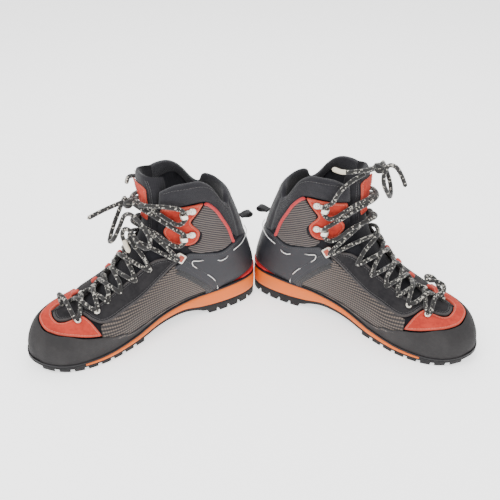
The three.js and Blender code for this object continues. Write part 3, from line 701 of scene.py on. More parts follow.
# ---- meshes ----------------------------------------------------------------------------------
@dataclass
class Form:
    """A mesh under way: points in boot millimetres, faces, flat coordinates and edge values."""

    points: list[Array] = field(default_factory=list)
    faces: list[list[int]] = field(default_factory=list)
    flat: list[Array] = field(default_factory=list)
    edge: list[Array] = field(default_factory=list)
    count: int = 0

    def add(self, points: Array, faces: Sequence[Sequence[int]], flat: Sequence[Array],
            edge: Array | float = 0.0) -> None:
        """Adds points and faces.

        Args:
            points: corner points.
            faces: corner indices of each face.
            flat: flat coordinates of each face's corners, in millimetres.
            edge: how near each point is to a cut edge.
        """
        self.faces += [[i + self.count for i in face] for face in faces]
        self.flat += [np.asarray(f) for f in flat]
        self.points.append(points)
        self.edge.append(np.broadcast_to(np.asarray(edge, float), (len(points),)))
        self.count += len(points)

    def grid(self, p: Array, flat: Array, around: bool = False, caps: bool = False,
             edge: Array | float = 0.0) -> None:
        """Adds a net of points.

        Args:
            p: points by row and column.
            flat: flat coordinates; one more column than p where it goes around.
            around: joins the last column to the first.
            caps: closes the first and the last row.
            edge: edge value of each point.
        """
        rows, columns = p.shape[:2]
        span = columns if around else columns - 1
        i, j = np.meshgrid(np.arange(rows - 1), np.arange(span), indexing="ij")
        i, j = i.ravel(), j.ravel()
        k = (j + 1) % columns
        faces = np.stack([i * columns + j, (i + 1) * columns + j, (i + 1) * columns + k,
                          i * columns + k], -1).tolist()
        uv = np.stack([flat[i, j], flat[i + 1, j], flat[i + 1, j + 1], flat[i, j + 1]], 1)
        uv = list(uv)
        if caps:
            for row, order in ((0, 1), (rows - 1, -1)):
                faces.append([row * columns + c for c in range(columns)][::order])
                uv.append(flat[row, :columns][::order])
        value = np.broadcast_to(np.asarray(edge, float), (rows, columns)).reshape(-1)
        self.add(p.reshape(-1, 3), faces, uv, value)


def frames(p: Array, up: Array | None = None) -> tuple[Array, Array, Array]:
    """Directions along a line of points, and two across it that twist as little as possible."""
    t = unit(np.gradient(p, axis=0))
    if up is not None:
        n = unit(np.cross(np.broadcast_to(up, t.shape), t))
        return t, n, np.cross(t, n)
    n = np.zeros_like(t)
    seed = np.array([0.0, 0.0, 1.0]) if abs(t[0, 2]) < 0.9 else np.array([1.0, 0.0, 0.0])
    n[0] = unit(np.cross(t[0], seed))
    for i in range(1, len(p)):
        n[i] = unit(n[i - 1] - t[i] * np.dot(n[i - 1], t[i]))
    return t, n, np.cross(t, n)


def ring_section(radius: float, sides: int) -> Array:
    """A round section."""
    a = np.linspace(0, 2 * np.pi, sides, endpoint=False)
    return np.stack([np.cos(a), np.sin(a)], -1) * radius


def bar_section(width: float, thick: float, corner: float = 0.4) -> Array:
    """A rounded rectangle, thick across the first way and wide across the second."""
    out = []
    for sx, sy, start in ((1, 1, 0), (-1, 1, 90), (-1, -1, 180), (1, -1, 270)):
        for step in (0, 45, 90):
            a = math.radians(start + step)
            out.append((sx * (thick / 2 - corner) + corner * math.cos(a),
                        sy * (width / 2 - corner) + corner * math.sin(a)))
    return np.array(out)


def sweep(form: Form, p: Array, section: Array, up: Array | None = None,
          scale: Array | None = None) -> None:
    """Adds a bar of one section along a line of points, with closed ends."""
    _, n, b = frames(p, up)
    size = np.ones(len(p)) if scale is None else scale
    s = section[None] * size[:, None, None]
    net = p[:, None] + n[:, None] * s[..., :1] + b[:, None] * s[..., 1:]
    along = np.concatenate([[0], np.cumsum(np.linalg.norm(np.diff(p, axis=0), axis=1))])
    turn = np.linspace(0, 1, len(section) + 1)
    flat = np.stack(np.meshgrid(along, turn, indexing="ij"), -1)
    form.grid(net, flat, around=True, caps=True)


def cord(form: Form, p: Array, radius: float, sides: int = 12, cap: bool = True) -> None:
    """Adds a round cord whose ends are rounded off."""
    d = np.concatenate([[0], np.cumsum(np.linalg.norm(np.diff(p, axis=0), axis=1))])
    scale = np.ones(len(p))
    if cap:
        near = np.minimum(d, d[-1] - d) / radius
        scale = np.sqrt(np.clip(1 - (1 - np.clip(near, 0, 1)) ** 2, 0.05, 1))
    sweep(form, p, ring_section(radius, sides), None, scale)


def lathe(form: Form, profile: Sequence[UV], matrix: Array, sides: int = 20) -> None:
    """Adds a turned piece: (radius, height) pairs round the local y axis of a 4x4 matrix."""
    a = np.linspace(0, 2 * np.pi, sides, endpoint=False)
    r, h = np.array(profile, float).T
    x, z = r[:, None] * np.cos(a), r[:, None] * np.sin(a)
    net = np.stack([x, np.broadcast_to(h[:, None], x.shape), z], -1)
    flat = np.stack(np.meshgrid(r, np.linspace(0, 6, sides + 1), indexing="ij"), -1)
    form.grid(moved(net, matrix), flat, around=True, caps=True)


def moved(p: Array, matrix: Array) -> Array:
    """Points moved by a 4x4 matrix."""
    return p @ matrix[:3, :3].T + matrix[:3, 3]


def seat(u: float, v: float, h: float, turn: float = 0.0) -> Array:
    """A frame on the last: x towards the tongue, y out of the boot, z along the facing."""
    origin = on_last(u, v, h)
    out = last_normal(u, v)
    front = on_last(u, v - math.copysign(0.02, v), h) - origin
    front = unit(front - out * np.dot(front, out))
    across = np.cross(front, out)
    a = math.copysign(turn, v)
    c, s = math.cos(a), math.sin(a)
    m = np.eye(4)
    m[:3, 0] = front * c - across * s
    m[:3, 1] = out
    m[:3, 2] = front * s + across * c
    m[:3, 3] = origin
    return m


def run_points(points: Sequence[UV], step: float = 1.5) -> Array:
    """A smooth seam through given places, sampled at equal steps along the last."""
    uv = spline(np.array(points, float), np.linspace(0, len(points) - 1, 14 * len(points)))
    p = last_point(uv[:, 0], uv[:, 1])
    return resample(np.hstack([p, uv]), step)[:, 3:]


def shifted(uv: Array, move: float, closed: bool = False) -> Array:
    """A line on the last moved sideways, to its left as seen from outside."""
    p = last_point(uv[:, 0], uv[:, 1])
    if closed:
        t = unit(np.roll(p, -1, 0) - np.roll(p, 1, 0))
    else:
        t = unit(np.gradient(p, axis=0))
    left = np.cross(last_normal(uv[:, 0], uv[:, 1]), t)
    return step_uv(uv, left * move)


def area2(p: Array) -> float:
    """Twice the signed area of a polygon."""
    q = np.roll(p, -1, 0)
    return float(np.sum(p[:, 0] * q[:, 1] - q[:, 0] * p[:, 1]))


def inside(p: Array, polygon: Array) -> Array:
    """Which points lie in a polygon."""
    x, y = p[:, 0, None], p[:, 1, None]
    a, b = polygon[None], np.roll(polygon, -1, 0)[None]
    with np.errstate(divide="ignore", invalid="ignore"):
        cut = (b[..., 0] - a[..., 0]) * (y - a[..., 1]) / (b[..., 1] - a[..., 1]) + a[..., 0]
    cross = ((a[..., 1] > y) != (b[..., 1] > y)) & (x < cut)
    return np.sum(cross, 1) % 2 == 1


def side_flat(p: Array) -> Array:
    """Flat coordinates of the boot's side: along it and up."""
    return np.stack([p[..., 0], p[..., 2]], -1)


def top_flat(p: Array) -> Array:
    """Flat coordinates of the boot's top: along it and across."""
    return np.stack([p[..., 0], p[..., 1]], -1)


def back_flat(p: Array) -> Array:
    """Flat coordinates round the heel and up."""
    angle = np.arctan2(p[..., 1], 70 - p[..., 0])
    return np.stack([angle * 55, p[..., 2]], -1)


@dataclass
class Panel:
    """A cut panel that lies on the last, with rolled edges.

    Attributes:
        runs: smooth stretches of its outline, as (ring, turn) places; corners where they meet.
        low: height of its underside over the last.
        high: height of its face.
        roll: radius of its edge.
        grow: how far its outline is moved out from the runs.
        bulge: how much its middle stands out.
        flat: flat coordinates of its points.
        scale: millimetres along the last for one ring and one turn, set when it is built.
    """

    runs: Sequence[Sequence[UV]]
    low: float = -0.6
    high: float = 1.8
    roll: float = 0.8
    grow: float = 0.0
    bulge: float = 0.0
    flat: Callable[[Array], Array] = side_flat
    scale: Array | None = field(default=None, init=False)

    def ring(self, inset: float = 0.0) -> Array:
        """Its outline as places on the last, moved in by inset."""
        parts = [run_points(run, 1.6)[:-1] for run in self._closed()]
        uv = np.vstack(parts)
        size = abs(area2(self._plane(uv)))
        sign = 1.0 if abs(area2(self._plane(shifted(uv, 0.5, True)))) < size else -1.0
        move = inset - self.grow
        steps = max(1, math.ceil(abs(move) / 0.8))
        for _ in range(steps):
            uv = shifted(uv, sign * move / steps, True)
        return uv

    def _closed(self) -> list[Sequence[UV]]:
        """Its runs, with straight stretches where two don't meet."""
        runs = [list(run) for run in self.runs]
        out = []
        for i, run in enumerate(runs):
            out.append(run)
            following = runs[(i + 1) % len(runs)]
            if math.dist(run[-1], following[0]) > 1e-6:
                out.append([run[-1], following[0]])
        return out

    def _plane(self, uv: Array) -> Array:
        """Places as flat millimetres."""
        return uv * (mean_scale(uv) if self.scale is None else self.scale)

    def build(self) -> Form:
        """Returns its mesh."""
        base = self.ring(0)
        self.scale = mean_scale(base)
        r = min(self.roll, self.high - self.low)
        profile = [(0.0, self.low), (0.0, self.high - 0.75 * r), (0.3 * r, self.high - 0.22 * r),
                   (r, self.high)]
        rings = [self.ring(d) if d else base for d, _ in profile]
        net = np.stack([on_last(q[:, 0], q[:, 1], h) for q, (_, h) in zip(rings, profile)])
        form = Form()
        rim = self._plane(rings[-1])
        low, high = rim.min(0), rim.max(0)
        grid = np.stack(np.meshgrid(np.arange(low[0], high[0], 2.6),
                                    np.arange(low[1], high[1], 2.6)), -1).reshape(-1, 2)
        grid = grid[inside(grid, rim)]
        gap = np.min(np.linalg.norm(grid[:, None] - rim[None], axis=-1), axis=1)
        grid = grid[gap > 1.2]
        n = len(rim)
        flat_points = np.vstack([rim, grid])
        edges = [(i, (i + 1) % n) for i in range(n)]
        result = delaunay_2d_cdt([Vector(p) for p in flat_points], edges, [], 1, 1e-5)
        verts = np.array([[v.x, v.y] for v in result[0]])
        source = [s[0] if s else -1 for s in result[3]]
        uv = verts / self.scale
        ring3 = last_point(rings[-1][:, 0], rings[-1][:, 1])
        p0 = last_point(uv[:, 0], uv[:, 1])
        dist = np.min(np.linalg.norm(p0[:, None] - ring3[None], axis=-1), axis=1)
        lift = self.bulge * (1 - np.exp(-dist / 6.0))
        points = on_last(uv[:, 0], uv[:, 1], self.high + lift)
        for i, s in enumerate(source):
            if 0 <= s < n:
                points[i] = net[-1][s]
        skirt = net[:-1].reshape(-1, 3)
        at = {s: i for i, s in enumerate(source) if 0 <= s < n}
        faces, offset = [], len(points)
        for k in range(3):
            for i in range(n):
                j = (i + 1) % n
                a, b = offset + k * n + i, offset + k * n + j
                if k < 2:
                    c, d = offset + (k + 1) * n + j, offset + (k + 1) * n + i
                else:
                    if i not in at or j not in at:
                        continue
                    c, d = at[j], at[i]
                faces.append([a, b, c, d])
        faces += [list(f) for f in result[2]]
        all_points = np.vstack([points, skirt])
        flat = self.flat(all_points)
        edge = np.concatenate([np.exp(-dist / 2.2), np.ones(len(skirt))])
        form.add(all_points, faces, [flat[f] for f in faces], edge)
        return form


def stitches(form: Form, uv: Array, height: float, pitch: float = 3.1, thick: float = 0.55) -> None:
    """Adds a row of stitches along a line on the last."""
    p = on_last(uv[:, 0], uv[:, 1], height)
    n = last_normal(uv[:, 0], uv[:, 1])
    line = resample(np.hstack([p, n]), pitch / 4)
    for i in range(0, len(line) - 4, 4):
        q, out = line[i:i + 4, :3], unit(line[i:i + 4, 3:])
        lift = np.array([-0.15, 0.3, 0.3, -0.15])[:, None] * thick
        sweep(form, q + out * lift, ring_section(thick / 2, 5))


# ---- places of the two boots -----------------------------------------------------------------
class Side(Enum):
    """Which foot a boot is for."""

    RIGHT = -1
    LEFT = 1

    @property
    def prefix(self) -> str:
        """Start of the boot's names."""
        return "right_" if self is Side.RIGHT else "left_"

    def world(self, p: Array) -> Array:
        """Boot millimetres to the pair's frame in metres."""
        s, c, d = self.value, math.cos(TOE_OUT), math.sin(TOE_OUT)
        x = s * HEEL_X + s * c * p[..., 0] - s * d * p[..., 1]
        y = PAIR_Y + s * HEEL_Y - d * p[..., 0] - c * p[..., 1]
        return np.stack([x, y, p[..., 2]], -1) / 1000


class Workshop:
    """Turns forms into Blender objects that ride on the boots' bodies."""

    def __init__(self, side: Side) -> None:
        """Sets which boot the pieces are for."""
        self.side = side

    def put(
        self, name: str, form: Form, finish: Finish, stands_for: Sequence[str] = (),
        body: str = "boot", sharp: float = 40.0,
    ) -> bpy.types.Object:
        """Makes one object.

        Args:
            name: its name without the boot's prefix.
            form: its mesh.
            finish: its finish.
            stands_for: CAD nodes that it replaces, without the prefix.
            body: the CAD body that it rides on.
            sharp: angle above which an edge stays sharp, in degrees.

        Returns:
            The object.
        """
        prefix = self.side.prefix
        mesh = bpy.data.meshes.new(f"{prefix}{name}_look")
        points = self.side.world(np.vstack(form.points))
        flip = self.side is Side.LEFT
        faces = [f[::-1] if flip else f for f in form.faces]
        mesh.from_pydata(points.tolist(), [], faces)
        layer = mesh.uv_layers.new(name="flat")
        corners = np.vstack([f[::-1] if flip else f for f in form.flat]) / 10
        layer.data.foreach_set("uv", corners.astype(np.float32).ravel())
        value = mesh.attributes.new("edge", "FLOAT", "POINT")
        value.data.foreach_set("value", np.concatenate(form.edge).astype(np.float32))
        mesh.materials.append(finish.material())
        mesh.shade_smooth()
        mesh.set_sharp_from_angle(angle=math.radians(sharp))
        obj = bpy.data.objects.new(f"{prefix}{name}_look", mesh)
        bpy.context.scene.collection.objects.link(obj)
        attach(obj, prefix + body)
        if stands_for:
            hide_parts(*[prefix + node for node in stands_for])
        return obj


# ---- seams of the upper, as (ring, turn) places of the inner side ----------------------------
RAND_TOP = [
    (8.8, 0.322), (8.2, 0.314), (7.45, 0.303), (6.6, 0.289), (5.75, 0.271), (4.9, 0.238),
    (4.35, 0.2), (3.6, 0.163), (3.1, 0.13), (2.6, 0.104), (2.15, 0.056), (2.05, 0),
]
RAND_X = [76, 98, 125, 155, 182, 210, 230, 250, 267, 282, 293, 299]
TOE_INNER = [
    (4.25, 0.165), (4.1, 0.1), (3.86, 0.056), (3.5, 0.06), (3.15, 0.058), (2.88, 0.04),
    (2.78, 0),
]
TOE_OUTER = [
    (4.28, 0.182), (3.72, 0.154), (3.4, 0.136), (3.05, 0.117), (2.66, 0.091), (2.28, 0.05),
    (2.18, 0),
]
THROAT = [
    (9.5, 0.165), (8.8, 0.137), (8, 0.118), (7.3, 0.106), (6.6, 0.092), (5.95, 0.076),
    (5.4, 0.063), (4.8, 0.055), (4.4, 0.046), (4.3, 0.024), (4.3, 0),
]
VAMP_OUTER = [
    (9.5, 0.19), (8.8, 0.19), (8.05, 0.194), (7.1, 0.194), (6.3, 0.183), (5.35, 0.155),
    (4.6, 0.138), (4.25, 0.1), (3.96, 0.046), (3.45, 0.048), (3.02, 0.032), (2.9, 0),
]
SIDE_LOW = [
    (4.42, 0.19), (4.9, 0.224), (5.75, 0.257), (6.6, 0.276), (7.45, 0.289), (8.3, 0.3),
    (8.95, 0.306),
]
SIDE_HIGH = [
    (4.5, 0.153), (5.35, 0.167), (6.3, 0.195), (7.1, 0.206), (8.05, 0.206), (8.7, 0.204),
    (9.1, 0.2),
]
CLIP_LOW = [(8.9, 0.397), (9.6, 0.4), (10.3, 0.4), (10.8, 0.41), (11.05, 0.44), (11.1, 0.5)]
CLIP_HIGH = [(8.9, 0.387), (9.6, 0.372), (10.3, 0.363), (10.9, 0.37), (11.4, 0.4),
             (11.75, 0.45), (11.85, 0.5)]
STRAP_LOW = [(9.05, 0.198), (9.12, 0.245), (9.05, 0.29), (8.8, 0.345)]
STRAP_HIGH = [(9.25, 0.352), (9.6, 0.31), (9.95, 0.25), (10.1, 0.198)]
COUNTER_LOW = [(9.1, 0.378), (9.65, 0.362), (10.35, 0.352), (11.0, 0.36), (11.5, 0.393),
               (11.85, 0.447), (11.97, 0.5)]
COUNTER_HIGH = [
    (9.5, 0.212), (10.5, 0.196), (11, 0.213), (11.45, 0.238), (12.15, 0.274), (12.9, 0.31),
    (13.35, 0.345), (13.75, 0.4), (13.85, 0.5),
]
ANKLE_FRONT = [
    (15.72, 0.258), (14.95, 0.238), (14.1, 0.214), (13.8, 0.215), (13.4, 0.235), (12.7, 0.23),
    (11.95, 0.212), (11.4, 0.192),
]
ANKLE_REAR = [
    (15.68, 0.268), (15.4, 0.286), (14.8, 0.303), (14.2, 0.318), (13.5, 0.322), (12.95, 0.297),
    (12.25, 0.262), (11.6, 0.228), (11.3, 0.206),
]
OVERLAY_FRONT = [
    (14.2, 0.108), (13.8, 0.104), (13.15, 0.104), (12.75, 0.126), (12.1, 0.118), (11.5, 0.122),
    (11, 0.14),
]
OVERLAY_REAR = [
    (15.7, 0.246), (14.95, 0.226), (14.1, 0.201), (13.75, 0.201), (13.35, 0.221),
    (12.7, 0.216), (11.95, 0.198), (11.3, 0.172),
]
COLLAR_LOW = [
    (14.35, 0.092), (15.05, 0.155), (15.95, 0.24), (15.9, 0.272), (15.2, 0.3), (14.4, 0.325),
    (13.85, 0.345), (13.95, 0.39), (14, 0.44), (14, 0.5),
]
COLLAR_HIGH = [
    (15.6, 0.092), (16.6, 0.155), (17.15, 0.235), (17.15, 0.272), (16.85, 0.3), (16.1, 0.325),
    (15.8, 0.352), (16.3, 0.39), (16.5, 0.44), (16.5, 0.5),
]
LINING_HIGH = [
    (14.55, 0.1), (15.25, 0.155), (16.1, 0.24), (16.05, 0.272), (15.4, 0.3), (14.6, 0.325),
    (14.05, 0.345), (14.1, 0.39), (14.2, 0.44), (14.2, 0.5),
]
EYELETS = [
    (3.72, 0.075), (4.55, 0.08), (5.15, 0.078), (5.95, 0.098), (6.95, 0.122), (8, 0.144),
    (9.75, 0.18),
]
HOOKS = {"lower": (12.6, 0.18), "upper": (14.75, 0.188)}
HOOK_TURN = 0.6
HOOK_T = 1.3
HOOK_THROAT = LACE_D + 1
LINK = (9.95, 0.187)


def on_side(points: Sequence[UV], s: int) -> list[UV]:
    """A seam of the inner side, or its mirror image on the outer side."""
    return [(u, s * v) for u, v in points]


SIDES = ((1, "inner"), (-1, "outer"))


OUTER_LACE = 0.55   # the outer facing reaches nearer to the middle
OUTER_BACK = 0.2    # and its eyelets stand this much of a ring nearer to the toe
RING_LIFT = (2.2, 1.8)
RING_RADIUS = 3.5
TABS = ((4.18, -0.062), (5.16, -0.056), (6.2, -0.056), (7.26, -0.058))
TAB_LIFT = 4.2
TAB_RADIUS = 3.0


# ---- laces -----------------------------------------------------------------------------------
LACE_H = PANEL_T + LACE_D / 2 + 1.5
CROSS_LOW = LACE_D / 2 + 0.9
CROSS_HIGH = CROSS_LOW + LACE_D + 0.9


@dataclass
class Lacing:
    """The round lace of one boot: rows, knot, bow and tails.

    Attributes:
        shop: where its pieces are made.
        inner: way from the knot to the inner upper hook.
        outer: way from the knot to the outer upper hook.
        toe: loop in front of the last row.
        tails: free cords that start at the knot.
        knot: middle of the knot.
        aglets: which tails end in a bound tip.
    """

    shop: Workshop
    inner: Sequence[tuple]
    outer: Sequence[tuple]
    toe: Sequence[tuple]
    tails: Sequence[Sequence[tuple]]
    knot: tuple[float, float, float]
    aglets: Sequence[bool]

    @staticmethod
    def crossing(low: float, high: float, s: int, reach: float, over: bool) -> list[Array]:
        """Places of a crossing over the tongue between two rings."""
        u, d = (low + high) / 2, (low - high) / 4
        on_vamp = 2.6 * max(0.0, min(1.0, (4.9 - u) / 0.4))
        on_patch = 2.6 * max(0.0, min(1.0, (u - 12.4) / 0.8))
        shoulder = LACE_H + (0.8 if over else 0) - (0 if u > 10 else 2.0)
        crest = (CROSS_HIGH if over else CROSS_LOW) + on_vamp + on_patch
        near, far = (1.0, OUTER_LACE) if s > 0 else (OUTER_LACE, 1.0)
        if u > 10:
            near = far = 1.0
        middle = 0.0 if u > 10 else 0.012
        rows = [(u + d, s * reach * near, shoulder), (u, middle, crest),
                (u - d, -s * reach * far, shoulder)]
        return [on_last(*row) for row in rows]

    @staticmethod
    def through_hook(name: str, s: int) -> list[Array]:
        """The way round a hook's neck, going down."""
        u, v = HOOKS[name]
        frame = seat(u, s * v, PANEL_T + GAP + 0.6, HOOK_TURN)
        middle = HOOK_T + HOOK_THROAT / 2
        way = ((7, 11.5, 0), (1, 5.2, 0), (1, -5.2, 0), (10, -10.5, 1.6))
        return [moved(np.array([x, middle + out, s * z]), frame) for x, z, out in way]

    def half(self, side: int, over: bool) -> list[Array]:
        """One half of the criss-cross, from an upper hook down to the toe."""
        route = self.through_hook("upper", side) + self.crossing(14.2, 13.2, side, 0.085, over)
        route += self.through_hook("lower", -side)
        route += self.crossing(11.8, 10.5, -side, 0.085, over)
        s = side
        for i in range(len(EYELETS) - 1, -1, -1):
            u, v = EYELETS[i]
            if u > 9:
                route.append(on_last(u, s * v, LACE_H + 3))
            else:
                at, turn = (u, v) if s > 0 else (u - OUTER_BACK, -OUTER_LACE * v)
                lift = turn - s * 0.012
                route += [on_last(at + 0.08, lift, 3.8), on_last(at, turn, 0.4),
                          on_last(at - 0.08, lift, 3.8)]
            if i > 0:
                route += self.crossing(u, EYELETS[i - 1][0], s, min(0.6 * v, 0.085), over)
            s = -s
        return route

    def build(self) -> None:
        """Makes the laced rows, the knot and the free ends."""
        rows = [*map(np.array, self.inner), *self.half(1, False), *map(np.array, self.toe),
                *self.half(-1, True)[::-1], *map(np.array, reversed(self.outer))]
        form = Form()
        cord(form, smooth_through(rows, 1.6), LACE_D / 2, 14)
        self.wrap(form)
        self.shop.put("lace_rows", form, Finish.LACE, ["lace_rows"])
        for i, tail in enumerate(self.tails):
            line = smooth_through(tail, 1.6)
            form = Form()
            cord(form, line, LACE_D / 2, 14)
            node = ["lace_bow"] if i == 0 else []
            obj = self.shop.put(f"lace_end_{i}", form, Finish.LACE, node)
            if self.aglets[i]:
                tip = Form()
                cord(tip, line[-12:], LACE_D / 2 + 0.35, 14)
                self.shop.put(f"lace_tip_{i}", tip, Finish.AGLET)
            path = self.shop.side.world(line)

    def wrap(self, form: Form) -> None:
        """Adds the turns of the knot."""
        k = np.array(self.knot)
        a = np.linspace(0, 2.6 * np.pi, 60)
        for phase, tilt in ((0.0, 0.5), (1.7, -0.6)):
            x = 5.0 * np.cos(a + phase)
            y = 5.6 * np.sin(a + phase)
            z = 2.4 * np.sin(a * 0.7 + phase) + tilt * y * 0.5
            cord(form, k + np.stack([x * 0.8, y, z], -1), LACE_D / 2 * 0.96, 12)


# ---- the sole unit ---------------------------------------------------------------------------
@dataclass
class SoleUnit:
    """Rubber tread, orange foam and the stiff board over it."""

    shop: Workshop
    cells: int = 130

    def stations(self, end: float) -> Array:
        """Places along the sole, closer together at its ends."""
        t = np.linspace(0, 1, self.cells)
        return -3 + (end + 3) * (1 - np.cos(np.pi * t)) / 2

    def slab(self, inset: float, low: Callable, high: Callable, bulge: float, end: float) -> Form:
        """A layer of the sole with soft edges."""
        x = self.stations(end)
        z0, z1 = low(x), high(x)
        thick = np.maximum(z1 - z0, 0.2)
        rows = [(0.0, 0.9), (0.02, 0.35), (0.18, -0.25 * bulge), (0.5, -bulge),
                (0.82, -0.3 * bulge), (0.98, 0.35), (1.0, 0.9)]
        loop = []
        for s in (1, -1):
            for f, move in (rows if s > 0 else rows[::-1]):
                y = outline(x, s, inset + move)
                loop.append(np.stack([x, y, z0 + thick * f], -1))
        net = np.stack(loop, 1)
        across = np.concatenate([[0], np.cumsum(np.linalg.norm(
            np.diff(net[len(x) // 2], axis=0), axis=1)), [0]])
        flat = np.stack(np.meshgrid(x, across, indexing="ij"), -1)
        form = Form()
        form.grid(net, flat, around=True, caps=True)
        return form

    def lug(self, form: Form, x: float, length: float, side: int, depth: float) -> None:
        """Adds one tread lug with chamfered edges."""
        rows = []
        for z_part, shrink in ((0.0, 1.1), (0.14, 0.25), (1.0, 0.0)):
            ring = []
            for a, b in ((0, 0), (0.5, 0), (1, 0), (1, 0.5), (1, 1), (0.5, 1), (0, 1), (0, 0.5)):
                at = x + shrink + (length - 2 * shrink) * a
                wave = 0.8 * math.sin(x) * b
                y = outline(at, side, 0.5 + shrink) - side * (depth - 2 * shrink + wave) * b
                bottom = max(0.0, float(plate_under(at)) - PLATE_REST - 0.3) * (at > 210)
                top = float(plate_under(at)) + 0.8
                ring.append((at, float(y), bottom + (top - bottom) * z_part))
            rows.append(ring)
        net = np.array(rows)
        flat = np.stack(np.meshgrid([0, 1, 6], np.linspace(0, 40, 9), indexing="ij"), -1)
        form.grid(net, flat, around=True, caps=True)

    def build(self) -> None:
        """Makes the sole unit's pieces."""
        plate = self.slab(0.4, plate_under, lambda x: foam_under(x) - GAP, 0.1, 299)
        for start, count, depth in ((4, 5, 20), (170, 8, 17)):
            for i in range(count):
                for side in (-1, 1):
                    self.lug(plate, start + 15.5 * i, 15.5 * 0.72, side, depth)
        for i in range(7):
            self.block(plate, 178 + 15.5 * i)
        for i in range(4):
            self.block(plate, 12 + 15.5 * i)
        self.shop.put("outsole", plate, Finish.RUBBER, ["outsole"], sharp=35)
        foam = self.slab(-0.3, foam_under, foam_top, 0.9, 246)
        self.shop.put("midsole", foam, Finish.FOAM, ["midsole"], sharp=60)
        board = self.slab(-0.2, lambda x: foam_top(x) + 0.05, lambda x: foam_top(x) + 2.3, 0.3, 299)
        self.shop.put("sole_board", board, Finish.BOARD, ["sole_board"], sharp=60)
        toe = self.slab(0.0, lambda x: foam_under(x) - 0.4, lambda x: foam_top(x) + 0.3, 0.4, 299)
        self.shop.put("toe_layer", toe, Finish.RUBBER, sharp=60)

    def block(self, form: Form, x: float) -> None:
        """Adds a lug in the middle of the tread."""
        middle = float(row_at(PLAN, x)[1])
        half = max(float(row_at(PLAN, x)[2]) - 24, 4)
        base = float(plate_under(x))
        low = max(0.0, base - PLATE_REST - 0.3) * (x > 210) + 0.6
        rows = []
        for z, shrink in ((low, 1.2), (low + 1.0, 0.3), (base + 0.8, 0)):
            rows.append([
                (x + c * (5.2 - shrink) + (2.5 if d else 0), middle + d * (half - shrink), z)
                for c, d in ((-1, -1), (1, -1), (1.3, 0), (1, 1), (-1, 1), (-0.7, 0))])
        flat = np.stack(np.meshgrid([0, 1, 6], np.linspace(0, 40, 7), indexing="ij"), -1)
        form.grid(np.array(rows), flat, around=True, caps=True)


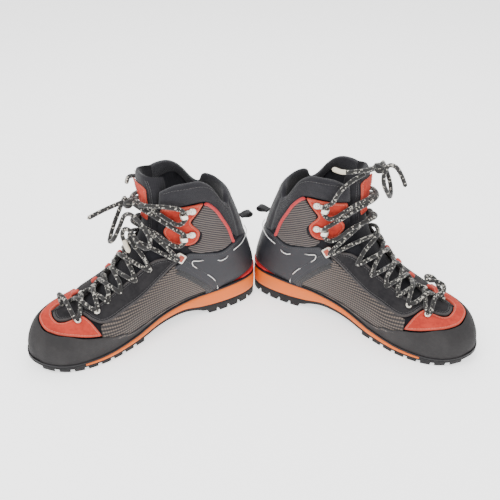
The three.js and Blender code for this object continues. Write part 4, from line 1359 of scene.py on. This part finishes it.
# ---- the upper -------------------------------------------------------------------------------
@dataclass
class Upper:
    """Rand, suede, cloth, counter and clip of one boot."""

    shop: Workshop

    def panel(self, name: str, finish: Finish, stands: Sequence[str] = (), **sizes) -> Panel:
        """Makes a panel and returns it."""
        panel = Panel(**sizes)
        self.shop.put(name, panel.build(), finish, stands, sharp=55)
        return panel

    def rand(self) -> None:
        """Rubber rand from the board's edge up to the suede, round the toe."""
        count, rows = 181, 16
        a = np.linspace(0, 1, count)
        rim_uv = spline(np.array(both_toe(RAND_TOP)), a * (2 * len(RAND_TOP) - 2))
        x = np.minimum(spline(np.array([*RAND_X, *RAND_X[:-1][::-1]])[:, None],
                              a * (2 * len(RAND_X) - 2))[:, 0], 298.6)
        side = np.where(a < 0.5, 1.0, -1.0)
        inset = 1.2
        y = outline(x, side, inset)
        y[count // 2] = row_at(PLAN, x[count // 2])[1]
        foot = np.stack([x - np.clip((x - 286) / 8, 0, 1) * inset, y, upper_base(x) - 0.2], -1)
        net = []
        for b, h in [*((k / rows, 2.6) for k in range(rows)), (0.985, 2.5), (1.0, 2.1), (1.0, 0.6)]:
            rim = on_last(rim_uv[:, 0], rim_uv[:, 1], h)
            knee = foot.copy()
            knee[:, 2] += (rim[:, 2] - foot[:, 2]) * 0.72
            grow = np.clip((x - 80) / 60, 0, 1)
            knee[:, 1] += side * 3 * grow * np.clip((292 - x) / 14, 0, 1)
            w = 1 - b
            net.append(foot * w * w + knee * (2 * w * b) + rim * b * b)
        net = np.stack(net, 1)
        along = np.concatenate([[0], np.cumsum(np.linalg.norm(np.diff(net[:, 3], axis=0), axis=1))])
        up = np.linspace(0, 30, net.shape[1])
        edge = np.clip((np.linspace(0, 1, net.shape[1]) - 0.8) * 5, 0, 1)[None]
        form = Form()
        form.grid(net, np.stack(np.meshgrid(along, up, indexing="ij"), -1), edge=edge)
        self.shop.put("rand", form, Finish.RAND, ["rand"], sharp=70)

    def shell(self) -> None:
        """Inner bootie, whose cloth shows between the panels and inside the boot."""
        a, b = np.linspace(0, 1, 70), np.linspace(0, 1, 72)
        high = spline(np.array(both_heel(LINING_HIGH)), b * (2 * len(LINING_HIGH) - 2))
        form = Form()
        for skin in (0.0, LINING_SKIN):
            u = 1.2 + (high[None, :, 0] - 1.2) * a[:, None]
            opening = 0.03 + np.clip((u - 4.3) / 2, 0, 1) * 0.06
            even = opening + (1 - 2 * opening) * b[None]
            v = even + (high[None, :, 1] - even) * np.clip((a[:, None] - 0.6) / 0.4, 0, None)
            toe = 7.5 * np.clip(1 - u / 5, 0, None)
            sunk = 0.5 + 0.9 * np.clip((9 - u) / 3, 0, 1)
            p = on_last(u, v, -(sunk + toe + skin))
            rise = np.clip((p[..., 2] - upper_base(p[..., 0]) - 24) / 12, 0, 1)
            inset = (5.4 + skin) * (1 - rise) - 6 * rise
            p[..., 1] = np.clip(p[..., 1], outline(p[..., 0], -1, inset),
                                outline(p[..., 0], 1, inset))
            p[..., 2] = np.maximum(p[..., 2], upper_base(p[..., 0]) + GAP + skin)
            form.grid(p, np.stack([v * 260, u * 14], -1))
        self.shop.put("lining", form, Finish.LINING, ["lining"], sharp=80)

    def build(self) -> None:
        """Makes every piece of the upper."""
        self.shell()
        self.rand()
        for s, word in SIDES:
            self.panel(f"side_panel_{word}", Finish.CHECK, [f"side_panel_{word}"], low=-1.4,
                       high=1.1, roll=0.5, grow=3.2, bulge=0.5,
                       runs=[on_side([(u, v + 0.014) for u, v in SIDE_LOW], s),
                             on_side(SIDE_HIGH[::-1], s)])
            self.panel(f"ankle_panel_{word}", Finish.STRIPE, [f"ankle_panel_{word}"], low=-0.6,
                       high=1.1, roll=0.6, grow=2.4, bulge=0.9,
                       runs=[on_side(ANKLE_FRONT, s), on_side(ANKLE_REAR[::-1], s)])
            over = self.panel(f"ankle_overlay_{word}", Finish.RED_SUEDE,
                              [f"ankle_overlay_{word}"], low=-0.4, high=2.2, roll=0.8, grow=0.6,
                              runs=[on_side(OVERLAY_FRONT, s), on_side(OVERLAY_REAR[::-1], s)])
            self.sew(f"overlay_seam_{word}", over, [2.0], 2.25, Finish.RED_THREAD)
            self.piping(s, word)
        counter = self.panel("heel_counter", Finish.COUNTER, ["heel_counter"], low=-0.4, high=1.6,
                             roll=0.9, grow=1.2, bulge=0.5, flat=back_flat,
                             runs=[both_heel(COUNTER_LOW), both_heel(COUNTER_HIGH)[::-1]])
        self.sew("counter_seam", counter, [2.4], 1.7, Finish.GREY_THREAD)
        for s, word in SIDES:
            strap = self.panel(
                f"strap_{word}", Finish.COUNTER, low=-0.6, high=2.0, roll=0.9,
                runs=[on_side(STRAP_LOW, s), on_side(STRAP_HIGH, s)])
            self.sew(f"strap_seam_{word}", strap, [1.6], 2.05, Finish.GREY_THREAD)
        self.panel("heel_clip", Finish.CLIP, ["heel_clip"], low=-0.4, high=3.2, roll=1.4,
                   grow=0.2, flat=back_flat, runs=[both_heel(CLIP_LOW), both_heel(CLIP_HIGH)[::-1]])
        vamp = self.panel("vamp", Finish.GREY_SUEDE, ["vamp"], low=-0.6, high=1.9, roll=0.9,
                          grow=0.4, flat=top_flat,
                          runs=[both_toe(VAMP_OUTER), both_toe(THROAT, OUTER_LACE)[::-1]])
        self.sew("vamp_seam", vamp, [2.2, 4.2], 1.95, Finish.GREY_THREAD)
        toe = self.panel("toe_overlay", Finish.RED_SUEDE, ["toe_overlay"], low=-0.4, high=2.3,
                         roll=0.8, grow=0.9, flat=top_flat,
                         runs=[both_toe(TOE_OUTER), both_toe(TOE_INNER)[::-1]])
        self.sew("toe_seam", toe, [1.9], 2.35, Finish.RED_THREAD)

    def sew(self, name: str, panel: Panel, insets: Sequence[float], height: float,
            finish: Finish) -> None:
        """Makes rows of stitches inside a panel's edge."""
        form = Form()
        for inset in insets:
            ring = panel.ring(inset)
            stitches(form, np.vstack([ring, ring[:1]]), height)
        self.shop.put(name, form, finish, sharp=80)

    def piping(self, s: int, word: str) -> None:
        """Crimson piping along the ankle panel's back edge."""
        form = Form()
        run = on_side([(15.75, 0.25), (15.78, 0.262), *ANKLE_REAR[1:5], (13.25, 0.326)], s)
        line = shifted(run_points(run), -s * 0.6)
        cord(form, on_last(line[:, 0], line[:, 1], 1.6), 2.0, 12)
        self.shop.put(f"piping_{word}", form, Finish.PIPING)


@dataclass
class Padding:
    """Collar, tongue, footbed and pull loop of one boot.

    Attributes:
        shop: where its pieces are made.
        lean: how far the tongue's top has fallen forward.
    """

    shop: Workshop
    lean: float

    def collar(self) -> None:
        """Padded collar with a near and a far wing and a taller back lobe."""
        count = 170
        a = np.linspace(0, 1, count)
        low = spline(np.array(both_heel(COLLAR_LOW)), a * (2 * len(COLLAR_LOW) - 2))
        top = np.array(both_heel(COLLAR_HIGH))
        top[:, 0] -= 0.5 * np.clip((top[:, 1] - 0.64) / 0.06, 0, 1)
        high = spline(top, a * (2 * len(COLLAR_HIGH) - 2))
        tall = np.linalg.norm(last_point(*high.T) - last_point(*low.T), axis=1)
        end = np.sqrt(np.clip(1 - (1 - np.clip(np.minimum(a, 1 - a) / 0.022, 0, 1)) ** 2, 0.04, 1))
        crease = np.zeros(count)
        for centre, width in ((0.36, 0.012), (0.64, 0.012)):
            crease += np.exp(-((a - centre) / width) ** 2)
        middle = COLLAR_PROUD - COLLAR_T / 2
        net = []
        outer = np.linspace(-0.08, 0.93, 15)
        for b in outer:
            pillow = 1.0 * math.sin(math.pi * min(max(b, 0), 1)) ** 0.6
            net.append((b, COLLAR_T / 2 - 0.9 + pillow - 1.3 * crease))
        for k in range(1, 8):
            t = math.pi * k / 8
            net.append((0.93 + 0.1 * math.sin(t), (COLLAR_T / 2 - 0.7) * math.cos(t)))
        for b in outer[::-1]:
            pillow = 1.3 * math.sin(math.pi * min(max(b, 0), 1)) ** 0.6
            net.append((b, -(COLLAR_T / 2 - 0.9 + pillow - 0.8 * crease)))
        columns = []
        for b, h in net:
            uv = low + (high - low) * b
            columns.append(on_last(uv[:, 0], uv[:, 1], middle + h * end))
        p = np.stack(columns, 1)
        around = np.concatenate([[0], np.cumsum(np.linalg.norm(np.diff(p[:, 7], axis=0), axis=1))])
        up = np.linspace(0, 1, len(net) + 1)[None] * (2 * tall.mean())
        flat = np.stack([np.broadcast_to(around[:, None], (count, len(net) + 1)),
                         np.broadcast_to(up, (count, len(net) + 1))], -1)
        form = Form()
        form.grid(p, flat, around=True, caps=True)
        obj = self.shop.put("collar", form, Finish.COLLAR, ["collar"], sharp=80)
        seam = Form()
        uv = low + (high - low) * 0.86
        stitches(seam, uv[4:-4], COLLAR_PROUD + 0.15, 3.4, 0.5)
        self.shop.put("collar_seam", seam, Finish.GREY_THREAD, sharp=80)

    def face(self, u: Array | float) -> Array:
        """How far the tongue's front stands from the last."""
        u = np.asarray(u, float)
        free = np.clip((u - 12.4) / 2.4, 0, 1)
        sunk = 3.2
        return -sunk + (sunk + 1.2) * free + self.lean * np.clip((u - 13.7) / 4, 0, None) ** 1.4

    def tongue(self) -> None:
        """Padded tongue with a bound edge and a suede patch."""
        rows = 90
        u = np.concatenate([np.linspace(3.75, 15.9, rows), 15.9 + 0.75 * np.sin(
            np.linspace(0.15, np.pi / 2, 8))])
        half = 0.104 * np.minimum(1, 0.55 + (u - 3.75) / 3)
        half *= np.where(u > 14.6, np.sqrt(np.clip(1 - ((u - 14.6) / 2.9) ** 2, 0.1, 1)), 1)
        puffed = TONGUE_T + 3.5 * np.clip((u - 13.5) / 2, 0, 1)
        thick = puffed * np.sqrt(np.clip((16.68 - u) / 0.9, 0.08, 1))
        face = self.face(u)
        wrap = np.clip((u - 11.5) / 2, 0, 1)
        columns = []
        across = np.linspace(-1, 1, 17)
        for c in across:
            puff = (1 - abs(c) ** 4) * 0.8 + 0.25 * math.cos(3 * math.pi * c)
            sag = wrap * abs(c) ** 3 * (face + 7.4)
            columns.append(on_last(u, half * c, face - sag - puffed / 2 + thick / 2 * (
                0.35 + 0.65 * math.sqrt(max(1 - abs(c) ** 5, 0)) + 0.1 * puff)))
        for c in across[::-1]:
            sag = wrap * abs(c) ** 3 * (face + 7.4)
            columns.append(on_last(u, half * c, face - sag - puffed / 2 - thick / 2 * (
                0.35 + 0.65 * math.sqrt(max(1 - abs(c) ** 5, 0)))))
        p = np.stack(columns, 1)
        span = np.concatenate([across * 20, [19.9], across[::-1] * 20])
        along = np.concatenate([[0], np.cumsum(np.linalg.norm(np.diff(p[:, 8], axis=0), axis=1))])
        form = Form()
        form.grid(p, np.stack(np.meshgrid(along, span, indexing="ij"), -1), around=True, caps=True)
        obj = self.shop.put("tongue", form, Finish.TONGUE, ["tongue"], sharp=80)
        seam = Form()
        for share in (0.62, 0.54):
            keep = slice(48, -5)
            path = np.vstack([np.stack([u[keep], half[keep] * share], -1),
                              np.stack([u[keep], -half[keep] * share], -1)[::-1]])
            sag = wrap[keep] * share ** 3 * (face[keep] + 7.4)
            h = face[keep] - sag + 0.45
            self.stitch_line(seam, path, np.concatenate([h, h[::-1]]))
        self.shop.put("tongue_seam", seam, Finish.GREY_THREAD, sharp=80)
        self.patch()

    @staticmethod
    def stitch_line(form: Form, uv: Array, h: Array) -> None:
        """Adds stitches along places whose heights differ."""
        p = on_last(uv[:, 0], uv[:, 1], h)
        n = last_normal(uv[:, 0], uv[:, 1])
        line = resample(np.hstack([p, n]), 0.8)
        for i in range(0, len(line) - 4, 4):
            q, out = line[i:i + 4, :3], unit(line[i:i + 4, 3:])
            lift = np.array([-0.1, 0.2, 0.2, -0.1])[:, None]
            sweep(form, q + out * lift, ring_section(0.25, 5))

    def patch(self) -> None:
        """Suede patch with a rounded top on the tongue's front."""
        rows, columns = 40, 15
        t = np.linspace(0, 1, rows)
        u = 12.0 + 3.7 * np.sin(t * np.pi / 2) ** 0.9
        width = 0.05 * np.where(t > 0.7, np.sqrt(np.clip(1 - ((t - 0.7) / 0.31) ** 2, 0, 1)), 1)
        width *= 0.85 + 0.15 * t
        net = []
        profile = [(1.0, 0.1), (1.0, 0.9), (0.95, 1.3), *((c, 1.35) for c in np.linspace(
            0.85, -0.85, columns)), (-0.95, 1.3), (-1.0, 0.9), (-1.0, 0.1)]
        for c, h in profile:
            net.append(on_last(u, width * c, self.face(u) + 0.45 + h))
        p = np.stack(net, 1)
        form = Form()
        c = np.array([q[0] for q in profile])
        flat = np.stack(np.meshgrid(t * 55, c * 11, indexing="ij"), -1)
        form.grid(p, flat, edge=np.clip((np.abs(c) - 0.7) / 0.3, 0, 1)[None])
        self.shop.put("tongue_patch", form, Finish.RED_SUEDE, ["tongue_patch"], sharp=60)
        seam = Form()
        keep = u[2:-3]
        path = np.vstack([np.stack([keep, width[2:-3] * 0.86], -1),
                          np.stack([keep, -width[2:-3] * 0.86], -1)[::-1]])
        self.stitch_line(seam, path, self.face(np.concatenate([keep, keep[::-1]])) + 1.95)
        self.shop.put("patch_seam", seam, Finish.RED_THREAD, sharp=80)

    def footbed(self) -> None:
        """Footbed on the floor of the boot."""
        x = np.linspace(22, 250, 60)
        half = np.sqrt(np.clip(1 - np.abs(2 * (x - 22) / 228 - 1) ** 5, 0.02, 1))
        loop = []
        edge = [(1.5, 0), (0, 1.5), (0.6, 3.4), (4, 4.2), (12, 4)]
        section = [(1, *e) for e in edge] + [(0, 0, 3.8)] + [(-1, *e) for e in edge[::-1]]
        for s, move, z in section:
            row = row_at(PLAN, x)
            reach = np.maximum((row[:, 2] - 12) * half - move, 0.3)
            lift = 0.07 * np.maximum(0, x - 205)
            loop.append(np.stack([x, row[:, 1] + s * reach,
                                  upper_base(x) + GAP + 2.4 + 1.2 + lift + z], -1))
        p = np.stack(loop, 1)
        form = Form()
        form.grid(p, np.stack(np.meshgrid(x, np.linspace(0, 150, 12), indexing="ij"), -1),
                  around=True, caps=True)
        self.shop.put("insole", form, Finish.FOOTBED, ["insole"], sharp=60)

    def loop(self) -> None:
        """Webbing pull loop on the heel."""
        root = on_last(14.35, 0.5, COLLAR_PROUD + GAP + 0.2)
        way = [(0.6, -0.8), (-2, -0.9), (-6, -2.0), (-11, -2.9), (-14.4, -1.8), (-15.2, 0.3),
               (-14, 2.2), (-9.5, 2.9), (-4.5, 1.8), (-2, 0.9), (0.6, 0.8)]
        points = [(root[0] - 3.5 + x, 0.0, root[2] + z) for x, z in way]
        form = Form()
        line = smooth_through(points, 0.8)
        sweep(form, line, bar_section(9.6, 1.5, 0.6), np.array([0.0, 1.0, 0.0]))
        self.shop.put("pull_loop", form, Finish.WEBBING, ["pull_loop"], "loop", 50)

    def build(self) -> None:
        """Makes every soft piece."""
        self.collar()
        self.tongue()
        self.footbed()
        self.loop()


@dataclass
class Hardware:
    """Hooks, links, cables, rings and tabs of one boot."""

    shop: Workshop

    def hook(self, u: float, v: float) -> Form:
        """An open lace hook with its rivet."""
        frame = seat(u, v, PANEL_T + GAP + 0.6, HOOK_TURN)
        neck, top = LACE_D / 2 + 2.6, HOOK_T + HOOK_THROAT
        path = [(-11.5, 0.65), (-6, 0.65), (0, 0.65), (neck - 1.6, 0.75), (neck + 0.3, 1.9),
                (neck + 0.9, 0.65 + top / 2), (neck + 0.3, top - 0.6), (neck - 1.6, top + 0.6),
                (0, top + 0.7), (-2.2, top + 0.7)]
        line = smooth_through([(x, y, 0.0) for x, y in path], 0.7)
        form = Form()
        local = Form()
        near = np.minimum(np.linspace(0, 1, len(line)), 1 - np.linspace(0, 1, len(line)))
        scale = np.clip(near / 0.035, 0.55, 1) ** 0.5
        sweep(local, line, bar_section(6.2, 1.3, 0.45), np.array([0.0, 0.0, 1.0]), scale)
        for p, e in zip(local.points, local.edge):
            form.add(moved(p, frame), local.faces, local.flat, e)
        disc = frame.copy()
        disc[:3, 3] = moved(np.array([-8.0, 0.0, 0.0]), frame)
        lathe(form, [(4.6, 0.0), (4.7, 0.7), (4.4, 1.3), (3.6, 1.7), (3.2, 1.5), (2.2, 1.5),
                     (1.9, 2.1), (1.2, 2.5), (0.1, 2.6)], disc, 22)
        return form

    def plate(self, form: Form, frame: Array, half: UV, z0: float, z1: float,
              corner: float) -> None:
        """Adds a rounded plate in a local frame."""
        ring = []
        for sx, sz, start in ((1, 1, 0), (-1, 1, 90), (-1, -1, 180), (1, -1, 270)):
            for step in range(0, 91, 18):
                a = math.radians(start + step)
                ring.append((sx * (half[0] - corner) + corner * math.cos(a),
                             sz * (half[1] - corner) + corner * math.sin(a)))
        ring = np.array(ring)
        net = []
        for y, k in ((z0, 1.0), (z1 - 0.35, 1.0), (z1 - 0.1, 0.97), (z1, 0.91)):
            net.append(np.stack([ring[:, 0] * k, np.full(len(ring), y), ring[:, 1] * k], -1))
        p = moved(np.stack(net), frame)
        flat = np.stack([np.broadcast_to(np.append(ring[:, 0], ring[0, 0]), (4, len(ring) + 1)),
                         np.broadcast_to(np.append(ring[:, 1], ring[0, 1]), (4, len(ring) + 1))],
                        -1)
        form.grid(p, flat, around=True, caps=True)

    def link(self, s: int, word: str) -> None:
        """Instep link: a metal frame with a ribbed insert and a loop for the lace."""
        frame = seat(LINK[0], s * LINK[1], PANEL_T + GAP + 0.2)
        form = Form()
        self.plate(form, frame, (5.4, 5.6), 0.0, 1.5, 1.4)
        half = [(2.4, 1.2, 5.0), (5.4, 2.2, 5.0), (7.4, 2.6, 3.4)]
        bow = smooth_through([*((x, y, -z) for x, y, z in half), (7.8, 2.8, 0.0), *half[::-1]], 0.7)
        cord(form, moved(bow, frame), 0.8, 10)
        self.shop.put(f"link_{word}", form, Finish.METAL, [f"link_{word}"], sharp=40)
        ribs = Form()
        self.plate(ribs, frame, (3.5, 3.9), 1.3, 2.1, 0.8)
        self.shop.put(f"link_insert_{word}", ribs, Finish.INSERT, sharp=50)

    def cable(self, s: int, word: str) -> None:
        """Heel-hold cable, round the ankle and down to the sole."""
        h = PANEL_T + GAP + CABLE_D / 2 + 0.3
        route = [(13.9, 0.487, 0), (13.85, 0.44, 0), (13.65, 0.395, 0), (13.2, 0.35, 0),
                 (12.75, 0.318, 0), (12.5, 0.309, 1), (12.1, 0.292, 1), (11.85, 0.282, 0),
                 (11.45, 0.267, 0), (11.25, 0.257, 1), (10.85, 0.24, 1), (10.55, 0.227, 0),
                 (10.2, 0.216, 0), (9.95, 0.224, 0), (9.88, 0.237, 0), (9.84, 0.245, 1),
                 (9.8, 0.258, 1), (9.78, 0.272, 0), (9.7, 0.287, 0), (9.62, 0.3, 1),
                 (9.5, 0.318, 1), (9.38, 0.335, 0), (9.2, 0.36, 0)]
        points = [on_last(u, s * v, h + (1.2 if u > 13.1 else 0.0) - 2.6 * dip)
                  for u, v, dip in route]
        form = Form()
        cord(form, smooth_through(points, 1.2), CABLE_D * 0.4, 10)
        self.shop.put(f"cable_{word}", form, Finish.CABLE, [f"cable_{word}"])
        strap = Form()
        uv = run_points(on_side([(8.98, 0.212), (9.1, 0.25), (9.12, 0.3), (9.05, 0.34),
                                 (8.95, 0.375)], s), 1.5)
        line = on_last(uv[:, 0], uv[:, 1], 1.9)
        out = last_normal(uv[:, 0], uv[:, 1])
        t = unit(np.gradient(line, axis=0))
        wide = np.cross(out, t)
        net = [line + wide * w + out * h for w, h in ((-3.4, -0.8), (-3.3, 0.1), (-2.6, 0.4),
                                                      (0, 0.45), (2.6, 0.4), (3.3, 0.1),
                                                      (3.4, -0.8))]
        flat = np.stack(np.meshgrid(np.arange(len(line)) * 1.5, np.linspace(0, 8, 7),
                                    indexing="ij"), -1)
        strap.grid(np.stack(net, 1), flat)
        self.shop.put(f"strap_{word}", strap, Finish.WEBBING, sharp=60)

    def ring(self, form: Form, u: float, v: float, h: float, radius: float) -> None:
        """Adds a metal eyelet ring."""
        a = np.linspace(0, 2 * np.pi, 13)
        thick = radius * 0.32
        profile = [(radius * 0.75 + thick * math.cos(q), thick + thick * math.sin(q)) for q in a]
        frame = seat(u, v, h)
        angle = np.linspace(0, 2 * np.pi, 20, endpoint=False)
        r, y = np.array(profile).T
        net = np.stack([r[:, None] * np.cos(angle), np.broadcast_to(y[:, None], (13, 20)),
                        r[:, None] * np.sin(angle)], -1)
        form.grid(moved(net, frame), np.zeros((13, 21, 2)), around=True)

    def slot(self, form: Form, u: float, v: float, h: float, long: float, wide: float) -> None:
        """Adds a dark patch of painted shadow where a slot opens in the surface, with the lie of
        the facing.
        """
        frame = seat(u, v if v else 0.001, h)
        a = np.linspace(0, 2 * np.pi, 18, endpoint=False)
        net = np.stack([[wide * k * np.cos(a), np.full(18, y), long * k * np.sin(a)]
                        for k, y in ((1.0, -0.4), (1.0, 0.05), (0.8, 0.12))])
        net = np.transpose(net, (0, 2, 1))
        form.grid(moved(net, frame), np.zeros((3, 19, 2)), around=True, caps=True)

    def tab(self, form: Form, u: float, v: float, h: float) -> None:
        """Adds a rolled webbing tab on the facing's edge."""
        frame = seat(u, v, h)
        line = np.stack([np.zeros(11), np.zeros(11), np.linspace(-4.6, 4.6, 11)], -1)
        local = Form()
        cord(local, line, TAB_RADIUS, 14)
        form.add(moved(local.points[0], frame), local.faces, local.flat, 0.0)

    def build(self) -> None:
        """Makes every metal piece and tab."""
        rings, slot_shadows, tabs, rolls = Form(), Form(), Form(), Form()
        for s, word in SIDES:
            for level in ("lower", "upper"):
                u, v = HOOKS[level]
                self.shop.put(f"hook_{word}_{level}", self.hook(u, s * v), Finish.METAL,
                              [f"hook_{word}_{level}"], sharp=40)
            self.link(s, word)
            self.cable(s, word)
            places = [(u, v) if s > 0 else (u - OUTER_BACK, -OUTER_LACE * v) for u, v in EYELETS]
            for (u, v), h in zip(places, RING_LIFT):
                self.ring(rings, u, v, h, RING_RADIUS)
            # dark patches of painted shadow where the lace slots open
            for u, v in places[2:6]:
                self.slot(slot_shadows, u, v, 1.9, 3.6, 1.9)
        for u, v in TABS:
            self.tab(tabs, u, v, TAB_LIFT)
        self.tab(rolls, 8.5, -0.066, 3.0)
        self.slot(slot_shadows, 3.05, -0.028, 2.1, 4.4, 2.0)
        self.shop.put("rings", rings, Finish.METAL)
        self.shop.put("slot_shadows", slot_shadows, Finish.SLOT_SHADOW)
        self.shop.put("tabs", tabs, Finish.TAB)
        self.shop.put("rolls", rolls, Finish.COUNTER)


# ---- one boot, the pair and the room ---------------------------------------------------------
@dataclass
class Boot:
    """One boot with all its sub-assemblies.

    Attributes:
        side: which foot it is for.
        lean: how far its tongue has fallen forward.
        lace: its given lace.
    """

    side: Side
    lean: float
    lace: dict

    def build(self) -> None:
        """Makes the boot."""
        shop = Workshop(self.side)
        Lacing(shop, **self.lace).build()
        SoleUnit(shop).build()
        Upper(shop).build()
        Padding(shop, self.lean).build()
        Hardware(shop).build()
        log.info("%sboot: done", self.side.prefix)


RIGHT_LACE = dict(
    inner=[(150, 13, 169), (143, 24, 172)],
    outer=[(149, -24, 180), (142, -32, 184)],
    toe=[(247, 6, 71), (250, -4, 72)],
    tails=[
        [(158, -5, 169), (172, -6, 166), (188, -7, 162), (203, -8, 157)],
        [(158, -7, 170), (156, -14, 168), (159, -19, 158), (168, -18, 142), (177, -14, 127),
         (182, -7, 121), (179, 0, 127), (171, 2, 142), (164, 4, 156), (160, 11, 160),
         (156, 22, 157), (152, 33, 149), (150, 41, 139), (153, 41, 129), (159, 34, 130),
         (163, 27, 140), (166, 20, 146), (170, 16, 146), (173, 16, 139), (172, 20, 130),
         (170, 24, 119)],
    ],
    knot=(156, -4, 167),
    aglets=(False, True),
)
LEFT_LACE = dict(
    inner=[(142, 18, 203), (133, 32, 198), (124, 42, 187)],
    outer=[(147, -22, 196), (140, -33, 190)],
    toe=[(243, 15, 70), (249, 8, 75), (246, -1, 78), (236, -3, 79), (228, 2, 80), (224, -6, 80),
         (232, -12, 76)],
    tails=[
        [(150, 3, 209), (145, 19, 209), (134, 29, 208), (121, 33, 206), (109, 35, 208)],
        [(151, 8, 209), (153, -3, 210), (151, -13, 206), (154, -19, 195), (160, -19, 182),
         (165, -12, 173), (167, -3, 172), (166, 5, 180), (162, 9, 191), (160, 8, 202),
         (162, 1, 211), (168, -6, 208), (175, -10, 197), (181, -12, 184)],
    ],
    knot=(152, 2, 207),
    aglets=(True, False),
)


@dataclass(frozen=True)
class Studio:
    """Camera, pale floor and soft lights.

    Attributes:
        target: point that the camera looks at.
        distance: camera's distance from it.
        pitch: camera's height angle, in degrees.
        roll: its turn about its own axis, in degrees.
        lens: focal length in millimetres.
    """

    target: tuple[float, float, float] = (-0.0056, 0.0807, 0.0495)
    distance: float = 0.815
    pitch: float = 33.0
    roll: float = 0.4
    lens: float = 43.2

    def camera(self) -> None:
        """Makes the camera."""
        data = bpy.data.cameras.new("camera")
        data.lens = self.lens
        data.sensor_width = 36.0
        camera = bpy.data.objects.new("camera", data)
        e = math.radians(self.pitch)
        back = Vector((0.0, -math.cos(e), math.sin(e)))
        turn = Matrix.Rotation(math.radians(90 - self.pitch), 4, "X")
        roll = Matrix.Rotation(math.radians(self.roll), 4, "Z")
        place = Matrix.Translation(Vector(self.target) + back * self.distance)
        camera.matrix_world = place @ turn @ roll
        bpy.context.scene.collection.objects.link(camera)
        bpy.context.scene.camera = camera

    def room(self) -> None:
        """Makes the floor, the lights and the sky."""
        s = Shader("pale_floor", Roughness=0.85, Specular_IOR_Level=0.1, Emission_Strength=1.25,
                   Emission_Color=(1.0, 1.0, 1.0))
        s.set("Base Color", s.mix((0.93, 0.93, 0.93), (0.95, 0.95, 0.95), s.noise(3)))
        mesh = bpy.data.meshes.new("floor")
        mesh.from_pydata([(-6, -4, 0), (6, -4, 0), (6, 8, 0), (-6, 8, 0)], [], [(0, 1, 2, 3)])
        mesh.materials.append(s.material)
        floor = bpy.data.objects.new("floor", mesh)
        bpy.context.scene.collection.objects.link(floor)
        for name, power, size, place in (
            ("key", 22.0, 0.9, (-0.7, -0.7, 1.5)),
            ("fill", 11.0, 1.4, (1.2, -0.9, 1.1)),
            ("top", 19.0, 1.2, (0.1, 0.7, 1.7)),
        ):
            data = bpy.data.lights.new(name, "AREA")
            data.energy, data.size = power, size
            light = bpy.data.objects.new(name, data)
            light.location = place
            aim = Vector((0, 0.05, 0.06)) - Vector(place)
            light.rotation_euler = aim.to_track_quat("-Z", "Y").to_euler()
            bpy.context.scene.collection.objects.link(light)
        world = bpy.data.worlds.new("sky")
        world.use_nodes = True
        world.node_tree.nodes["Background"].inputs[0].default_value = (1, 1, 1, 1)
        world.node_tree.nodes["Background"].inputs[1].default_value = 1.15
        bpy.context.scene.world = world


def main() -> None:
    """Builds the pair and its studio."""
    logging.basicConfig(level=logging.INFO, format="%(name)s: %(message)s")
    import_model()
    studio = Studio()
    studio.camera()
    Boot(Side.RIGHT, RIGHT_TONGUE_LEAN, RIGHT_LACE).build()
    Boot(Side.LEFT, LEFT_TONGUE_LEAN, LEFT_LACE).build()
    studio.room()


if __name__ == "__main__":
    main()
